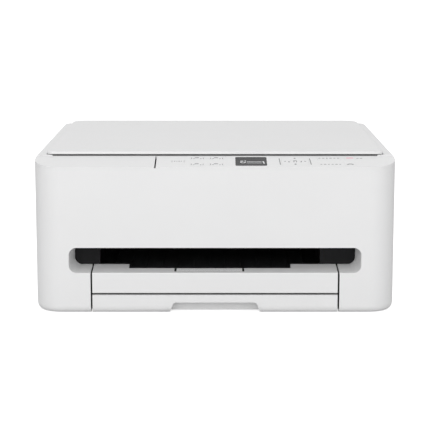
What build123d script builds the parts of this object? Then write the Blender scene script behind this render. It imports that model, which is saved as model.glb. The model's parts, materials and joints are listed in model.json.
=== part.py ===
from build123d import *
import math
import os

# Home inkjet multifunction printer. Millimetres, +Z up, front of the printer towards -Y.
# The origin is the centre of the footprint on the surface that the printer stands on.

# Driving dimensions of the casing
BODY_WIDTH = 376.0
BODY_DEPTH = 346.0
BODY_HEIGHT = 165.0
FRONT_CORNER = 27.0
REAR_CORNER = 16.0
WALL = 2.6
THIN_WALL = 2.0
GROUND_GAP = 1.0
BOTTOM_EDGE = 4.0
FIT = 0.3
DRAWER_GAP = 1.1
SHAFT_FIT = 0.08
OVERLAP = 0.1

# Levels of the scanner unit and the operating strip, measured down from the lid's top
SEAM_DROP = 12.4
SEAM_GAP = 0.06
CREASE_DROP = 11.0
STRIP_DROP = 4.4
DECK_DROP = 5.0
RIM_DROP = 3.4
LID_THICKNESS = 2.8
LEDGE_DROP = 8.5
UNIT_AXIS_DROP = 14.5
TUB_DROP = 43.0
STRIP_DEPTH = 37.5
RIM_EDGE = 2.4
DECK_PLATE = 2.2

# Document lid
LID_SIDE_MARGIN = 7.0
LID_FRONT = 39.0
LID_REAR_MARGIN = 4.0
LID_CORNER = 16.0
LID_EDGE = 1.3
LID_SKIN = 1.6
LID_AXIS_SETBACK = 3.5
LID_AXIS_DROP = 3.2
LID_PIN_RADIUS = 1.4
LID_HINGE_INSET = 68.0
LID_HINGE_WIDTH = 16.0
LID_CHEEK = 3.0
LID_RIM = 6.0
LID_LEDGE_DEPTH = 14.0
LID_HINGE_BASE = 1.6
LID_HINGE_HALF = 4.0
DECK_MARGIN = 0.8

# Scanner unit
TUB_GAP = 4.0
TUB_CORNER = 10.0
TUB_EDGE = 3.0
TUB_RIBS = 7
TUB_RIB_PITCH = 50.0
ROD_BLOCK = 12.0
ROD_INSET = 4.0
ROD_SEAT = 0.02
ROD_RISE = 10.0
SCAN_LENS_HALF = 3.0
SCAN_BEARING_HALF = 9.0
TUB_FRONT = 9.0
TUB_REAR_MARGIN = 13.0
GLASS_SIDE_MARGIN = 35.0
GLASS_DEPTH = 222.0
GLASS_THICKNESS = 3.0
GLASS_LAP = 6.0
GLASS_SHIFT = 4.0
GLASS_SETBACK = 162.0
SCAN_HEAD_WIDTH = 18.0
SCAN_HEAD_LAP = 5.0
SCAN_INSET = 16.0
SCAN_BAR_RISE = 8.0
SCAN_BEARING_DROP = 5.0
SCAN_ROD_RADIUS = 3.0
UNIT_AXIS_MARGIN = 6.0
UNIT_PIN_RADIUS = 1.8
UNIT_LUG_RADIUS = 3.2
UNIT_HINGE_INSET = 38.0
UNIT_LUG_WIDTH = 14.0
UNIT_CHEEK = 3.0
UNIT_BRACKET_HEIGHT = 30.5
UNIT_BRACKET_PLATE = 18.0
UNIT_SKIRT_DROP = 1.0
UNIT_SWING_GAP = 3.6

# Output slot, its white funnel and its black lining
SLOT_SIDE_MARGIN = 36.0
SLOT_FLOOR = 42.8
SLOT_TOP = 69.3
SLOT_CORNER = 8.0
FUNNEL_DEPTH = 30.0
FUNNEL_DRAFT = 3.7
FUNNEL_RISE = 3.2
FUNNEL_WALL = 2.2
LINING_LEFT_MARGIN = 66.5
LINING_RIGHT_MARGIN = 77.0
LINING_PLATE = 2.0
LINING_TOP = 90.0
LINING_MARGIN = 8.0
LINING_BACK_GAP = 18.0

# Output tray, its stopper and the paper cassette
BAY_SIDE_MARGIN = 58.75
TRAY_SEAM = 20.6
TRAY_SEAM_HALF = 0.7
FRONT_PLATE = 2.4
TROUGH_LEFT_MARGIN = 97.4
TROUGH_RIGHT_MARGIN = 108.2
TROUGH_FRONT = 16.0
TRAY_FLOOR = 36.0
TRAY_FLOOR_THICKNESS = 2.0
TRAY_FLOOR_GAP = 50.0
STOPPER_REACH_LEFT = 41.5
STOPPER_RIGHT = 29.6
STOPPER_FRONT = 5.0
STOPPER_THICKNESS = 2.6
STOPPER_GAP = 1.2
STOPPER_PIN = 0.8
STOPPER_EAR = 4.0
STOPPER_PIN_LENGTH = 2.0
TRAY_RIBS = 13
TRAY_RIB_MARGIN = 6.0
TRAY_RIB_PLATE = 1.2
TRAY_RIB_HEIGHT = 1.4
TRAY_RIB_LEAD = 14.0
TRAY_RIB_TAIL = 6.0
TRAY_SKIRT = 1.6
GRIP_HALF_BOTTOM = 47.6
GRIP_HALF_TOP = 43.2
GRIP_TOP = 11.2
GRIP_DEPTH = 12.0
GRIP_CORNER = 4.0
CASSETTE_WALL = 1.8
CASSETTE_SIDE_GAP = 1.0
CASSETTE_CORNER = 4.0
HUB_RADIUS = 2.0
CASSETTE_FLOOR = 5.7
CASSETTE_TOP = 19.8
CASSETTE_REAR_MARGIN = 26.0
PAPER_SHIFT = 6.0
PAPER_MARGIN = 24.25
GUIDE_HEIGHT = 9.9
GUIDE_LENGTH = 90.0
GUIDE_THICKNESS = 1.8
GUIDE_SETBACK = 170.0
GUIDE_FOOT = 14.0
REAR_GUIDE_HALF = 22.0
REAR_GUIDE_FOOT = 26.0
RACK_WIDTH = 5.0
RACK_HEIGHT = 2.0
RACK_START = 20.0
PINION_TEETH = 16
PINION_MODULE = 1.0

# Lower chassis
PAN_PLATE = 2.0
FLANGE_WIDTH = 12.0
FLANGE_PLATE = 2.4
FOOT_EDGE = 0.6
BAY_WALL = 2.0
BAY_GAP = 0.5
LEDGE_RISE = 1.2
LEDGE_PLATE = 2.0
LEDGE_REACH = 5.0
BAY_RIBS = 5
RIB_PLATE = 1.6
RIB_HEIGHT = 12.0
RIB_REACH = 18.0
BAY_RIB_START = 30.0
BAY_WALL_FRONT = 40.0
BAY_WALL_TOP = 50.0
BAY_NOTCH_GAP = 12.0
FOOT_RADIUS = 7.0
FOOT_INSET_X = 32.0
FOOT_INSET_Y = 34.0
SIDE_PLATE_INSET = 12.0
SIDE_PLATE = 1.5
SIDE_PLATE_CORNER = 8.0
SIDE_PLATE_GAP = 8.0
SIDE_PLATE_LEAD = 32.0
SIDE_PLATE_TAIL = 46.0
LIGHTENING_HEIGHT = 84.0
LIGHTENING_INSET = 26.0
LIGHTENING_RADIUS = 9.0
CROSS_BOTTOM = 70.0
CROSS_TOP = 96.0
CROSS_HOLES = 6
CROSS_HOLE_WIDTH = 26.0
CROSS_HOLE_HEIGHT = 10.0
BRACKET_GAP = 4.0
BRACKET_HALF = 15.0
BRACKET_BOTTOM = 22.0

# Paper feed and print mechanism, measured from the feed shaft and the exit shaft
FEED_SETBACK = 146.0
SHAFT_PITCH = 72.0
SHAFT_HEIGHT = 47.0
FEED_ROLLER_RADIUS = 6.0
EXIT_ROLLER_RADIUS = 5.0
SHAFT_RADIUS = 2.5
ROLLER_COUNT = 4
ROLLER_WIDTH = 18.0
GEAR_MODULE = 1.0
GEAR_WIDTH = 6.0
GEAR_INSET = 20.0
FEED_TEETH = 40
EXIT_TEETH = 30
IDLER_TEETH = 37
MOTOR_TEETH = 12
PLATEN_FRONT_GAP = 10.0
PLATEN_REAR_GAP = 16.0
PLATEN_TOP = 55.0
PLATEN_PLATE = 2.0
PLATEN_RIBS = 17
PLATEN_RIB_PLATE = 1.4
PLATEN_MARGIN = 10.0
RAIL_GAP = 8.0
RAIL_PLATE = 1.5
RAIL_BOTTOM = 70.0
RAIL_TOP_GAP = 10.0
RAIL_FLANGE = 14.0
CARRIAGE_WIDTH = 70.0
CARRIAGE_INSET = 50.0
CARRIAGE_FRONT_GAP = 8.0
CARRIAGE_REAR_GAP = 6.0
CARRIAGE_BOTTOM = 57.5
CARRIAGE_TOP_GAP = 18.0
CARRIAGE_WALL = 2.0
HEAD_INSET_X = 6.0
HEAD_INSET_Y = 14.0
SHOE_RISE = 14.0
SHOE_HEIGHT = 8.0
SHOE_INSET = 6.0
NECK_INSET = 10.0
ARM_PLATE = 2.4
HOOK_PLATE = 2.2
CLAMP_HALF = 8.0
EAR_PLATE = 2.0
CARTRIDGE_FIT = 0.4
THUMB_STEP = 12.0
LATCH_OVERHANG = 3.0
LATCH_LIP = 6.0
LATCH_KNUCKLE = 0.9
LATCH_THICKNESS = 2.4
LATCH_PIN_RADIUS = 1.5
BELT_RADIUS = 6.0
BELT_THICKNESS = 1.0
BELT_HEIGHT = 4.0
BELT_GAP = 20.0
BELT_SETBACK = 20.0
BELT_SIDE_MARGIN = 30.0
BELT_ARM_DROP = 10.0
BELT_ARM_HALF = 9.0
BELT_AXLE_RISE = 5.0
MOTOR_RADIUS = 12.0
MOTOR_NOSE_RADIUS = 3.6
MOTOR_EDGE = 1.5
MOTOR_TOP_GAP = 6.5
MOTOR_SHIFT = 3.5
AXLE_RADIUS = 1.5
SMALL_MOTOR_RADIUS = 9.5
PULLEY_FLANGE = 1.8
PULLEY_FLANGE_PLATE = 1.0
PULLEY_PLAY = 0.4

# Pick-up arm over the cassette and the curved guide behind it
PICKUP_SETBACK = 98.0
PICKUP_HEIGHT = 44.0
PICKUP_REACH = 36.0
PICKUP_DROP = 11.0
PICKUP_RADIUS = 8.0
PICKUP_WIDTH = 28.0
PICKUP_HUB = 5.0
PICKUP_EAR = 4.0
PICKUP_ROLLER_HALF = 9.0
TURN_SETBACK = 42.0
TURN_HEIGHT = 40.0
TURN_RADIUS = 30.0
TURN_INSET = 12.0
TURN_RIBS = 4
TURN_RIB_PITCH = 54.0
TURN_RIB_PLATE = 1.6
TURN_RIB_HEIGHT = 5.0
TURN_POST = 5.0
TURN_POST_RISE = 20.0

# Cleaning station and electrics
STATION_LEFT_MARGIN = 54.0
STATION_RIGHT_MARGIN = 16.0
STATION_FRONT_GAP = 6.0
STATION_REAR_GAP = 10.0
STATION_TOP = 48.0
STATION_WALL = 2.0
STATION_DEPTH = 18.0
SUPPLY_MARGIN = 14.0
SUPPLY_WIDTH = 38.0
SUPPLY_SETBACK = 84.0
SUPPLY_REAR_MARGIN = 10.0
SUPPLY_TOP = 58.0
SUPPLY_CORNER = 3.0
MAIN_BOARD_GAP = 2.5
MAIN_BOARD_PLATE = 1.6
MAIN_BOARD_LEAD = 18.0
MAIN_BOARD_BOTTOM = 14.0
MAIN_BOARD_TOP = 92.0
CHIP_HEIGHT = 1.5
CHIPS = ((30.0, 26.0, 52.0), (86.0, 16.0, 66.0), (122.0, 20.0, 40.0), (176.0, 14.0, 60.0))
CAP_HEIGHT = 3.0
CAP_WALL = 1.4
CAP_INSET = 8.0

# Operating strip: window and keys, placed from the panel's left edge and up the slope
PANEL_REACH_LEFT = 62.5
PANEL_SEAM = 0.8
PANEL_PLATE = 2.4
WINDOW_OFFSET = 100.0
WINDOW_WIDTH = 32.6
WINDOW_LENGTH = 29.6
WINDOW_CORNER = 2.2
WINDOW_THICKNESS = 1.2
WINDOW_LAP = 1.0
KEY_THICKNESS = 3.4
KEY_FIT = 0.12
KEY_PROUD = 0.05
KEY_CORNER = 1.6
STRIP_MIDDLE = 19.0
UPPER_ROW = 29.6
LOWER_ROW = 9.0
BOARD_DEPTH = 5.8
BOARD_PLATE = 1.4
BOARD_HALF = 14.0
BOARD_END_MARGIN = 20.0
POST_RADIUS = 2.0
POST_BITE = 0.6
BOARD_POSTS = (10.5, 75.5, 165.5, 217.5)
OK_WIDTH = 10.0
OK_LENGTH = 9.0

# Rear cover and sockets
COVER_LEFT_MARGIN = 76.0
COVER_RIGHT_MARGIN = 88.0
COVER_BOTTOM = 22.0
COVER_TOP = 98.0
COVER_PIN_RADIUS = 0.8
COVER_GAP = 0.6
COVER_PIN_LENGTH = 6.0
COVER_RIBS = 5
COVER_RIB_INSET = 16.0
NOTCH_HALF = 24.0
NOTCH_DEPTH = 14.0
INLET_MARGIN = 36.0
INLET_Z = 34.0
INLET_WIDTH = 19.0
INLET_HEIGHT = 11.0
USB_MARGIN = 25.0
USB_Z = 34.0
USB_SIZE = 12.0
SOCKET_WALL = 1.6
SOCKET_DEPTH = 16.0
SOCKET_WELL = 9.0
SOCKET_SETBACK = 0.4
TONGUE_HALF_WIDTH = 2.6
TONGUE_HALF_HEIGHT = 1.4
INLET_WELL = 6.0
INLET_PIN_RADIUS = 1.1
INLET_PIN_SPREAD = 4.0
INLET_RIM = 1.5

KEYS = {
    "power_key": (24.1, STRIP_MIDDLE, 14.0, 12.0),
    "function_key_1": (44.1, UPPER_ROW, 14.0, 11.0),
    "function_key_2": (64.1, UPPER_ROW, 14.0, 11.0),
    "function_key_3": (44.1, LOWER_ROW, 14.0, 11.0),
    "function_key_4": (64.1, LOWER_ROW, 14.0, 11.0),
    "navigation_key": (145.7, STRIP_MIDDLE, 28.0, 26.0),
    "ok_key": (145.7, STRIP_MIDDLE, OK_WIDTH, OK_LENGTH),
    "start_black_key": (181.5, UPPER_ROW, 24.0, 11.0),
    "start_colour_key": (203.4, UPPER_ROW, 11.0, 11.0),
    "stop_key": (202.3, LOWER_ROW, 11.0, 11.0),
}

# Limits of the casing and the levels that follow from its height
FRONT = -BODY_DEPTH / 2
REAR = BODY_DEPTH / 2
HALF_WIDTH = BODY_WIDTH / 2
SHELL_BOTTOM = GROUND_GAP
PAN_BOTTOM = SHELL_BOTTOM + FLANGE_PLATE
PAN_TOP = PAN_BOTTOM + PAN_PLATE
SEAM_HEIGHT = BODY_HEIGHT - SEAM_DROP
CREASE_HEIGHT = BODY_HEIGHT - CREASE_DROP
STRIP_TOP = BODY_HEIGHT - STRIP_DROP
DECK_HEIGHT = BODY_HEIGHT - DECK_DROP
RIM_HEIGHT = BODY_HEIGHT - RIM_DROP
LID_UNDERSIDE = BODY_HEIGHT - LID_THICKNESS
LID_AXIS_HEIGHT = BODY_HEIGHT - LID_AXIS_DROP
LID_LEDGE_HEIGHT = BODY_HEIGHT - LEDGE_DROP
UNIT_AXIS_HEIGHT = BODY_HEIGHT - UNIT_AXIS_DROP
TUB_BOTTOM = BODY_HEIGHT - TUB_DROP
GLASS_UNDERSIDE = DECK_HEIGHT - DECK_PLATE - GLASS_THICKNESS
SCAN_ROD_HEIGHT = TUB_BOTTOM + ROD_RISE
UNIT_BRACKET_BOTTOM = UNIT_AXIS_HEIGHT - UNIT_BRACKET_HEIGHT
STRIP_ANGLE = math.degrees(math.atan2(STRIP_TOP - CREASE_HEIGHT, STRIP_DEPTH))
SIDE_PLATE_TOP = TUB_BOTTOM - SIDE_PLATE_GAP
RAIL_TOP = TUB_BOTTOM - RAIL_TOP_GAP
CARRIAGE_TOP = TUB_BOTTOM - CARRIAGE_TOP_GAP
BELT_Z = TUB_BOTTOM - BELT_GAP

# Distances behind the front face
FEED_SHAFT = BODY_DEPTH - FEED_SETBACK
EXIT_SHAFT = FEED_SHAFT - SHAFT_PITCH
LINING_DEPTH = EXIT_SHAFT - LINING_BACK_GAP - FUNNEL_DEPTH
TRAY_LENGTH = FEED_SHAFT - TRAY_FLOOR_GAP
PLATEN_FRONT = EXIT_SHAFT + PLATEN_FRONT_GAP
PLATEN_REAR = FEED_SHAFT - PLATEN_REAR_GAP
CARRIAGE_FRONT = EXIT_SHAFT + CARRIAGE_FRONT_GAP
CARRIAGE_REAR = FEED_SHAFT - CARRIAGE_REAR_GAP
RAIL_FACE = FEED_SHAFT + RAIL_GAP
BELT_LINE = FEED_SHAFT + BELT_SETBACK
STATION_FRONT = EXIT_SHAFT + STATION_FRONT_GAP
STATION_REAR = FEED_SHAFT - STATION_REAR_GAP
SIDE_PLATE_FRONT = EXIT_SHAFT - SIDE_PLATE_LEAD
SIDE_PLATE_REAR = FEED_SHAFT + SIDE_PLATE_TAIL
MAIN_BOARD_FRONT = EXIT_SHAFT - MAIN_BOARD_LEAD
PICKUP_PIVOT = BODY_DEPTH - PICKUP_SETBACK
BAY_WALL_REAR = BODY_DEPTH - SUPPLY_SETBACK
BAY_RIB_PITCH = (BAY_WALL_REAR - BAY_WALL_FRONT - BAY_RIB_START) / BAY_RIBS
TURN_CENTRE = BODY_DEPTH - TURN_SETBACK
CASSETTE_REAR = BODY_DEPTH - CASSETTE_REAR_MARGIN
CASSETTE_HEAD = GRIP_DEPTH + FRONT_PLATE
GUIDE_POSITION = CASSETTE_REAR - GUIDE_SETBACK
SUPPLY_FRONT = BODY_DEPTH - SUPPLY_SETBACK
SUPPLY_REAR = BODY_DEPTH - SUPPLY_REAR_MARGIN
GLASS_CENTRE = BODY_DEPTH - GLASS_SETBACK
TUB_REAR = BODY_DEPTH - TUB_REAR_MARGIN
UNIT_AXIS = BODY_DEPTH - UNIT_AXIS_MARGIN
LID_REAR = BODY_DEPTH - LID_REAR_MARGIN
STOPPER_AXIS = STOPPER_FRONT + FIT + STOPPER_THICKNESS / 2

# Places across the printer
PANEL_LEFT = -PANEL_REACH_LEFT
WINDOW_CENTRE_X = PANEL_LEFT + WINDOW_OFFSET
STOPPER_LEFT = -STOPPER_REACH_LEFT
PAPER_CENTRE_X = -PAPER_SHIFT
GLASS_CENTRE_X = -GLASS_SHIFT
SLOT_HALF_WIDTH = HALF_WIDTH - SLOT_SIDE_MARGIN
LINING_LEFT = LINING_LEFT_MARGIN - HALF_WIDTH
LINING_RIGHT = HALF_WIDTH - LINING_RIGHT_MARGIN
BAY_HALF_WIDTH = HALF_WIDTH - BAY_SIDE_MARGIN
BAY_INNER = BAY_HALF_WIDTH + BAY_GAP
BAY_OUTER = BAY_INNER + BAY_WALL
DRAWER_HALF = BAY_HALF_WIDTH - DRAWER_GAP
TROUGH_LEFT = TROUGH_LEFT_MARGIN - HALF_WIDTH
TROUGH_RIGHT = HALF_WIDTH - TROUGH_RIGHT_MARGIN
PAPER_WIDTH = 2 * (BAY_HALF_WIDTH - PAPER_MARGIN)
TRAY_RIB_PITCH = (PAPER_WIDTH - TRAY_RIB_MARGIN) / (TRAY_RIBS - 1)
RACK_TEETH = math.floor((PAPER_WIDTH / 2 - RACK_START) / (math.pi * PINION_MODULE)) - 1
SIDE_PLATE_X = HALF_WIDTH - SIDE_PLATE_INSET
GEAR_X = GEAR_INSET - HALF_WIDTH
BRACKET_X = GEAR_X + GEAR_WIDTH + BRACKET_GAP
BELT_SPAN_X = HALF_WIDTH - BELT_SIDE_MARGIN
CARRIAGE_HOME_X = HALF_WIDTH - CARRIAGE_INSET
STATION_LEFT = HALF_WIDTH - STATION_LEFT_MARGIN
STATION_RIGHT = HALF_WIDTH - STATION_RIGHT_MARGIN
SUPPLY_LEFT = SUPPLY_MARGIN - HALF_WIDTH
SUPPLY_RIGHT = SUPPLY_LEFT + SUPPLY_WIDTH
INLET_X = INLET_MARGIN - HALF_WIDTH
USB_X = HALF_WIDTH - USB_MARGIN
COVER_LEFT = COVER_LEFT_MARGIN - HALF_WIDTH
COVER_RIGHT = HALF_WIDTH - COVER_RIGHT_MARGIN
TUB_HALF = HALF_WIDTH - WALL - TUB_GAP
LID_HALF_WIDTH = HALF_WIDTH - LID_SIDE_MARGIN
LID_HINGE_X = HALF_WIDTH - LID_HINGE_INSET
UNIT_HINGE_X = HALF_WIDTH - UNIT_HINGE_INSET
GLASS_WIDTH = BODY_WIDTH - 2 * GLASS_SIDE_MARGIN
SCAN_TRAVEL = GLASS_WIDTH - SCAN_INSET
SCAN_HEAD_DEPTH = GLASS_DEPTH + 2 * SCAN_HEAD_LAP

# Levels in the drawer bay
LEDGE_BOTTOM = TRAY_SEAM + LEDGE_RISE
LEDGE_TOP = LEDGE_BOTTOM + LEDGE_PLATE
GUIDE_FLOOR = CASSETTE_FLOOR + CASSETTE_WALL + FIT
SLOT_SLOPE = FUNNEL_RISE / FUNNEL_DEPTH
STOPPER_SEAT = SLOT_FLOOR + SLOT_SLOPE * STOPPER_FRONT - STOPPER_THICKNESS - FIT


def y_at(distance):
    """Y of a place given by its distance behind the front face."""
    return FRONT + distance


def block(x0, x1, y0, y1, z0, z1):
    """Box between two corners."""
    centre = Pos((x0 + x1) / 2, (y0 + y1) / 2, (z0 + z1) / 2)
    return centre * Box(x1 - x0, y1 - y0, z1 - z0)


def plan(inset, front_radius, rear_radius):
    """Footprint of the casing, drawn in by an inset, with rounded corners."""
    sketch = Rectangle(BODY_WIDTH - 2 * inset, BODY_DEPTH - 2 * inset)
    front = sketch.vertices().sort_by(Axis.Y)[:2]
    sketch = fillet(front, max(front_radius - inset, 1.0))
    rear = sketch.vertices().sort_by(Axis.Y)[-2:]
    return fillet(rear, max(rear_radius - inset, 1.0))


def casing(inset, bottom, top):
    """Prism over the footprint between two heights."""
    return Pos(0, 0, bottom) * extrude(plan(inset, FRONT_CORNER, REAR_CORNER), top - bottom)


def x_cylinder(x0, x1, y, z, radius):
    """Cylinder along X."""
    return Pos((x0 + x1) / 2, y, z) * Rot(0, 90, 0) * Cylinder(radius, x1 - x0)


def z_cylinder(x, y, z0, z1, radius):
    """Cylinder along Z."""
    return Pos(x, y, (z0 + z1) / 2) * Cylinder(radius, z1 - z0)


def slot_section(distance, grow):
    """Rounded outline of the output slot's funnel at a distance behind the front."""
    share = distance / FUNNEL_DEPTH
    half = SLOT_HALF_WIDTH - FUNNEL_DRAFT * share + grow
    floor = SLOT_FLOOR + FUNNEL_RISE * share - grow
    top = SLOT_TOP + grow
    frame = Plane(origin=(0, y_at(distance), (floor + top) / 2), x_dir=(1, 0, 0), z_dir=(0, -1, 0))
    return frame * RectangleRounded(2 * half, top - floor, SLOT_CORNER + grow)


def funnel(grow, start, end):
    """Loft between two sections of the output slot."""
    return loft([slot_section(start, grow), slot_section(end, grow)])


def along_x(points, x0, x1):
    """Prism along X from a closed outline of (y, z) points."""
    outline = make_face(Plane.YZ * Polyline(*points, close=True))
    return Pos(x0, 0, 0) * extrude(outline, x1 - x0, dir=(1, 0, 0))


def gear(teeth, module, width, phase):
    """Spur gear with straight-flanked teeth, its axis on Z."""
    root = module * teeth / 2 - 1.25 * module
    tip = module * teeth / 2 + 0.85 * module
    step = 360 / teeth
    points = []
    for tooth in range(teeth):
        for radius, share in ((root, -0.34), (tip, -0.12), (tip, 0.12), (root, 0.34)):
            angle = math.radians(step * (tooth + share) + phase)
            points.append((radius * math.cos(angle), radius * math.sin(angle)))
    return extrude(make_face(Polyline(*points, close=True)), width, dir=(0, 0, 1))


def x_gear(teeth, y, z, bore, phase):
    """Drive gear with its axis along X at the left of the mechanism."""
    wheel = gear(teeth, GEAR_MODULE, GEAR_WIDTH, phase)
    wheel = wheel - Pos(0, 0, GEAR_WIDTH / 2) * Cylinder(bore, 2 * GEAR_WIDTH)
    return Pos(GEAR_X, y, z) * Plane.YZ.location * wheel


def strip_place(x, up):
    """Location on the sloped strip, its Z axis square to the surface."""
    tilt = math.radians(STRIP_ANGLE)
    normal = (0, -math.sin(tilt), math.cos(tilt))
    slope = Plane(origin=(0, FRONT, CREASE_HEIGHT), x_dir=(1, 0, 0), z_dir=normal)
    return slope.location * Pos(x, up, 0)


def lower_shell():
    """One-piece wrap-round casing with the slot funnel and the drawer bay in its front."""
    shell = casing(0, SHELL_BOTTOM, SEAM_HEIGHT - SEAM_GAP)
    shell = fillet(shell.edges().group_by(Axis.Z)[0], BOTTOM_EDGE)
    shell = shell - casing(WALL, PAN_BOTTOM, SEAM_HEIGHT + 1)
    shell = shell - casing(FLANGE_WIDTH, 0, PAN_BOTTOM + 1)
    shell = shell + funnel(FUNNEL_WALL, 0, FUNNEL_DEPTH)
    shell = shell - funnel(0, -0.01, FUNNEL_DEPTH + 0.01)
    bay_floor = block(-BAY_HALF_WIDTH, BAY_HALF_WIDTH, FRONT - 1, y_at(FUNNEL_DEPTH + 1),
                      SLOT_FLOOR - FUNNEL_WALL - 1, SLOT_FLOOR + FUNNEL_RISE + 0.5)
    bay = block(-BAY_HALF_WIDTH, BAY_HALF_WIDTH, FRONT - 1, y_at(CASSETTE_HEAD + BAY_GAP), 0, SLOT_FLOOR)
    shell = shell - bay_floor - bay
    swing = UNIT_AXIS - 1.5
    shell = shell - block(-BODY_WIDTH, BODY_WIDTH, y_at(swing), REAR + 1,
                          SEAM_HEIGHT - UNIT_SKIRT_DROP - UNIT_SWING_GAP, SEAM_HEIGHT + 1)
    shell = shell - block(COVER_LEFT, COVER_RIGHT, REAR - WALL - 1, REAR + 1, COVER_BOTTOM, COVER_TOP)
    shell = shell - block(INLET_X - INLET_WIDTH / 2 - FIT, INLET_X + INLET_WIDTH / 2 + FIT,
                          REAR - WALL - 1, REAR + 1,
                          INLET_Z - INLET_HEIGHT / 2 - FIT, INLET_Z + INLET_HEIGHT / 2 + FIT)
    shell = shell - block(USB_X - USB_SIZE / 2 - FIT, USB_X + USB_SIZE / 2 + FIT,
                          REAR - WALL - 1, REAR + 1,
                          USB_Z - USB_SIZE / 2 - FIT, USB_Z + USB_SIZE / 2 + FIT)
    return shell + cover_pins(0)


def base_pan():
    """Bottom plate with the cleaning station's open box."""
    pan = casing(WALL + FIT, PAN_BOTTOM, PAN_TOP)
    pan = pan - block(-BAY_HALF_WIDTH, BAY_HALF_WIDTH, FRONT, y_at(CASSETTE_HEAD + BAY_GAP),
                      PAN_BOTTOM - 1, PAN_TOP + 1)
    station = block(STATION_LEFT, STATION_RIGHT, y_at(STATION_FRONT), y_at(STATION_REAR), PAN_TOP - OVERLAP,
                    STATION_TOP)
    station = station - block(STATION_LEFT + STATION_WALL, STATION_RIGHT - STATION_WALL,
                              y_at(STATION_FRONT + STATION_WALL), y_at(STATION_REAR - STATION_WALL),
                              STATION_TOP - STATION_DEPTH, STATION_TOP + 1)
    return pan + station


def bay_wall(side):
    """Side wall of the drawer bay with its runner ledge, shaft bearings and stiffening ribs."""
    low, high = sorted((side * BAY_INNER, side * BAY_OUTER))
    wall = block(low, high, y_at(BAY_WALL_FRONT), y_at(BAY_WALL_REAR), PAN_TOP, BAY_WALL_TOP)
    wall = wall - block(low - 1, high + 1, y_at(BAY_WALL_FRONT - 1), y_at(EXIT_SHAFT - BAY_NOTCH_GAP),
                        SLOT_FLOOR, BAY_WALL_TOP + 1)
    for distance, height in ((FEED_SHAFT, SHAFT_HEIGHT), (EXIT_SHAFT, SHAFT_HEIGHT),
                             (PICKUP_PIVOT, PICKUP_HEIGHT)):
        wall = wall - x_cylinder(low - 1, high + 1, y_at(distance), height, SHAFT_RADIUS + SHAFT_FIT)
    ledge_x = sorted((side * (BAY_HALF_WIDTH - LEDGE_REACH), side * BAY_OUTER))
    wall = wall + block(*ledge_x, y_at(BAY_WALL_FRONT), y_at(BAY_WALL_REAR), LEDGE_BOTTOM, LEDGE_TOP)
    rib_x = sorted((side * (BAY_OUTER - OVERLAP), side * (BAY_OUTER + RIB_REACH)))
    for rib in range(BAY_RIBS):
        distance = BAY_WALL_FRONT + BAY_RIB_START + rib * BAY_RIB_PITCH
        beside_station = side > 0 and STATION_FRONT - RIB_PLATE < distance < STATION_REAR
        if not beside_station:
            wall = wall + block(*rib_x, y_at(distance), y_at(distance) + RIB_PLATE, PAN_TOP,
                                PAN_TOP + RIB_HEIGHT)
    return wall


def bay_walls():
    """Left and right side walls of the drawer bay."""
    return Compound(children=[bay_wall(-1), bay_wall(1)])


def rubber_feet():
    """Four round feet under the corners."""
    feet = []
    for sx in (-1, 1):
        for sy in (-1, 1):
            x = sx * (HALF_WIDTH - FOOT_INSET_X)
            y = sy * (BODY_DEPTH / 2 - FOOT_INSET_Y)
            foot = z_cylinder(x, y, 0, PAN_BOTTOM, FOOT_RADIUS)
            foot = chamfer(foot.edges().group_by(Axis.Z)[0], FOOT_EDGE)
            feet.append(foot)
    return Compound(children=feet)


def slot_lining():
    """Black frame behind the funnel with the duct that the sheets leave through."""
    back = y_at(FUNNEL_DEPTH)
    low = SLOT_FLOOR + FUNNEL_RISE - FUNNEL_WALL + FIT
    half = SLOT_HALF_WIDTH + LINING_MARGIN
    plate = block(-half, half, back, back + LINING_PLATE, low, LINING_TOP)
    plate = plate - block(LINING_LEFT, LINING_RIGHT, back - 1, back + LINING_PLATE + 1,
                          low - 1, LINING_TOP - LINING_PLATE)
    duct_back = back + LINING_DEPTH
    roof = block(LINING_LEFT - LINING_PLATE, LINING_RIGHT + LINING_PLATE, back, duct_back,
                 LINING_TOP - LINING_PLATE, LINING_TOP)
    left = block(LINING_LEFT - LINING_PLATE, LINING_LEFT, back, duct_back, low, LINING_TOP)
    right = block(LINING_RIGHT, LINING_RIGHT + LINING_PLATE, back, duct_back, low, LINING_TOP)
    return plate + roof + left + right


def tray_profile(inset, front, back):
    """Side outline of the output tray's head: level foot, upright front, rising top."""
    foot = TRAY_SEAM + TRAY_SEAM_HALF
    return [
        (y_at(front), foot),
        (y_at(front), SLOT_FLOOR + SLOT_SLOPE * front - inset),
        (y_at(back), SLOT_FLOOR + SLOT_SLOPE * back - inset),
        (y_at(back), foot),
    ]


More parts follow.
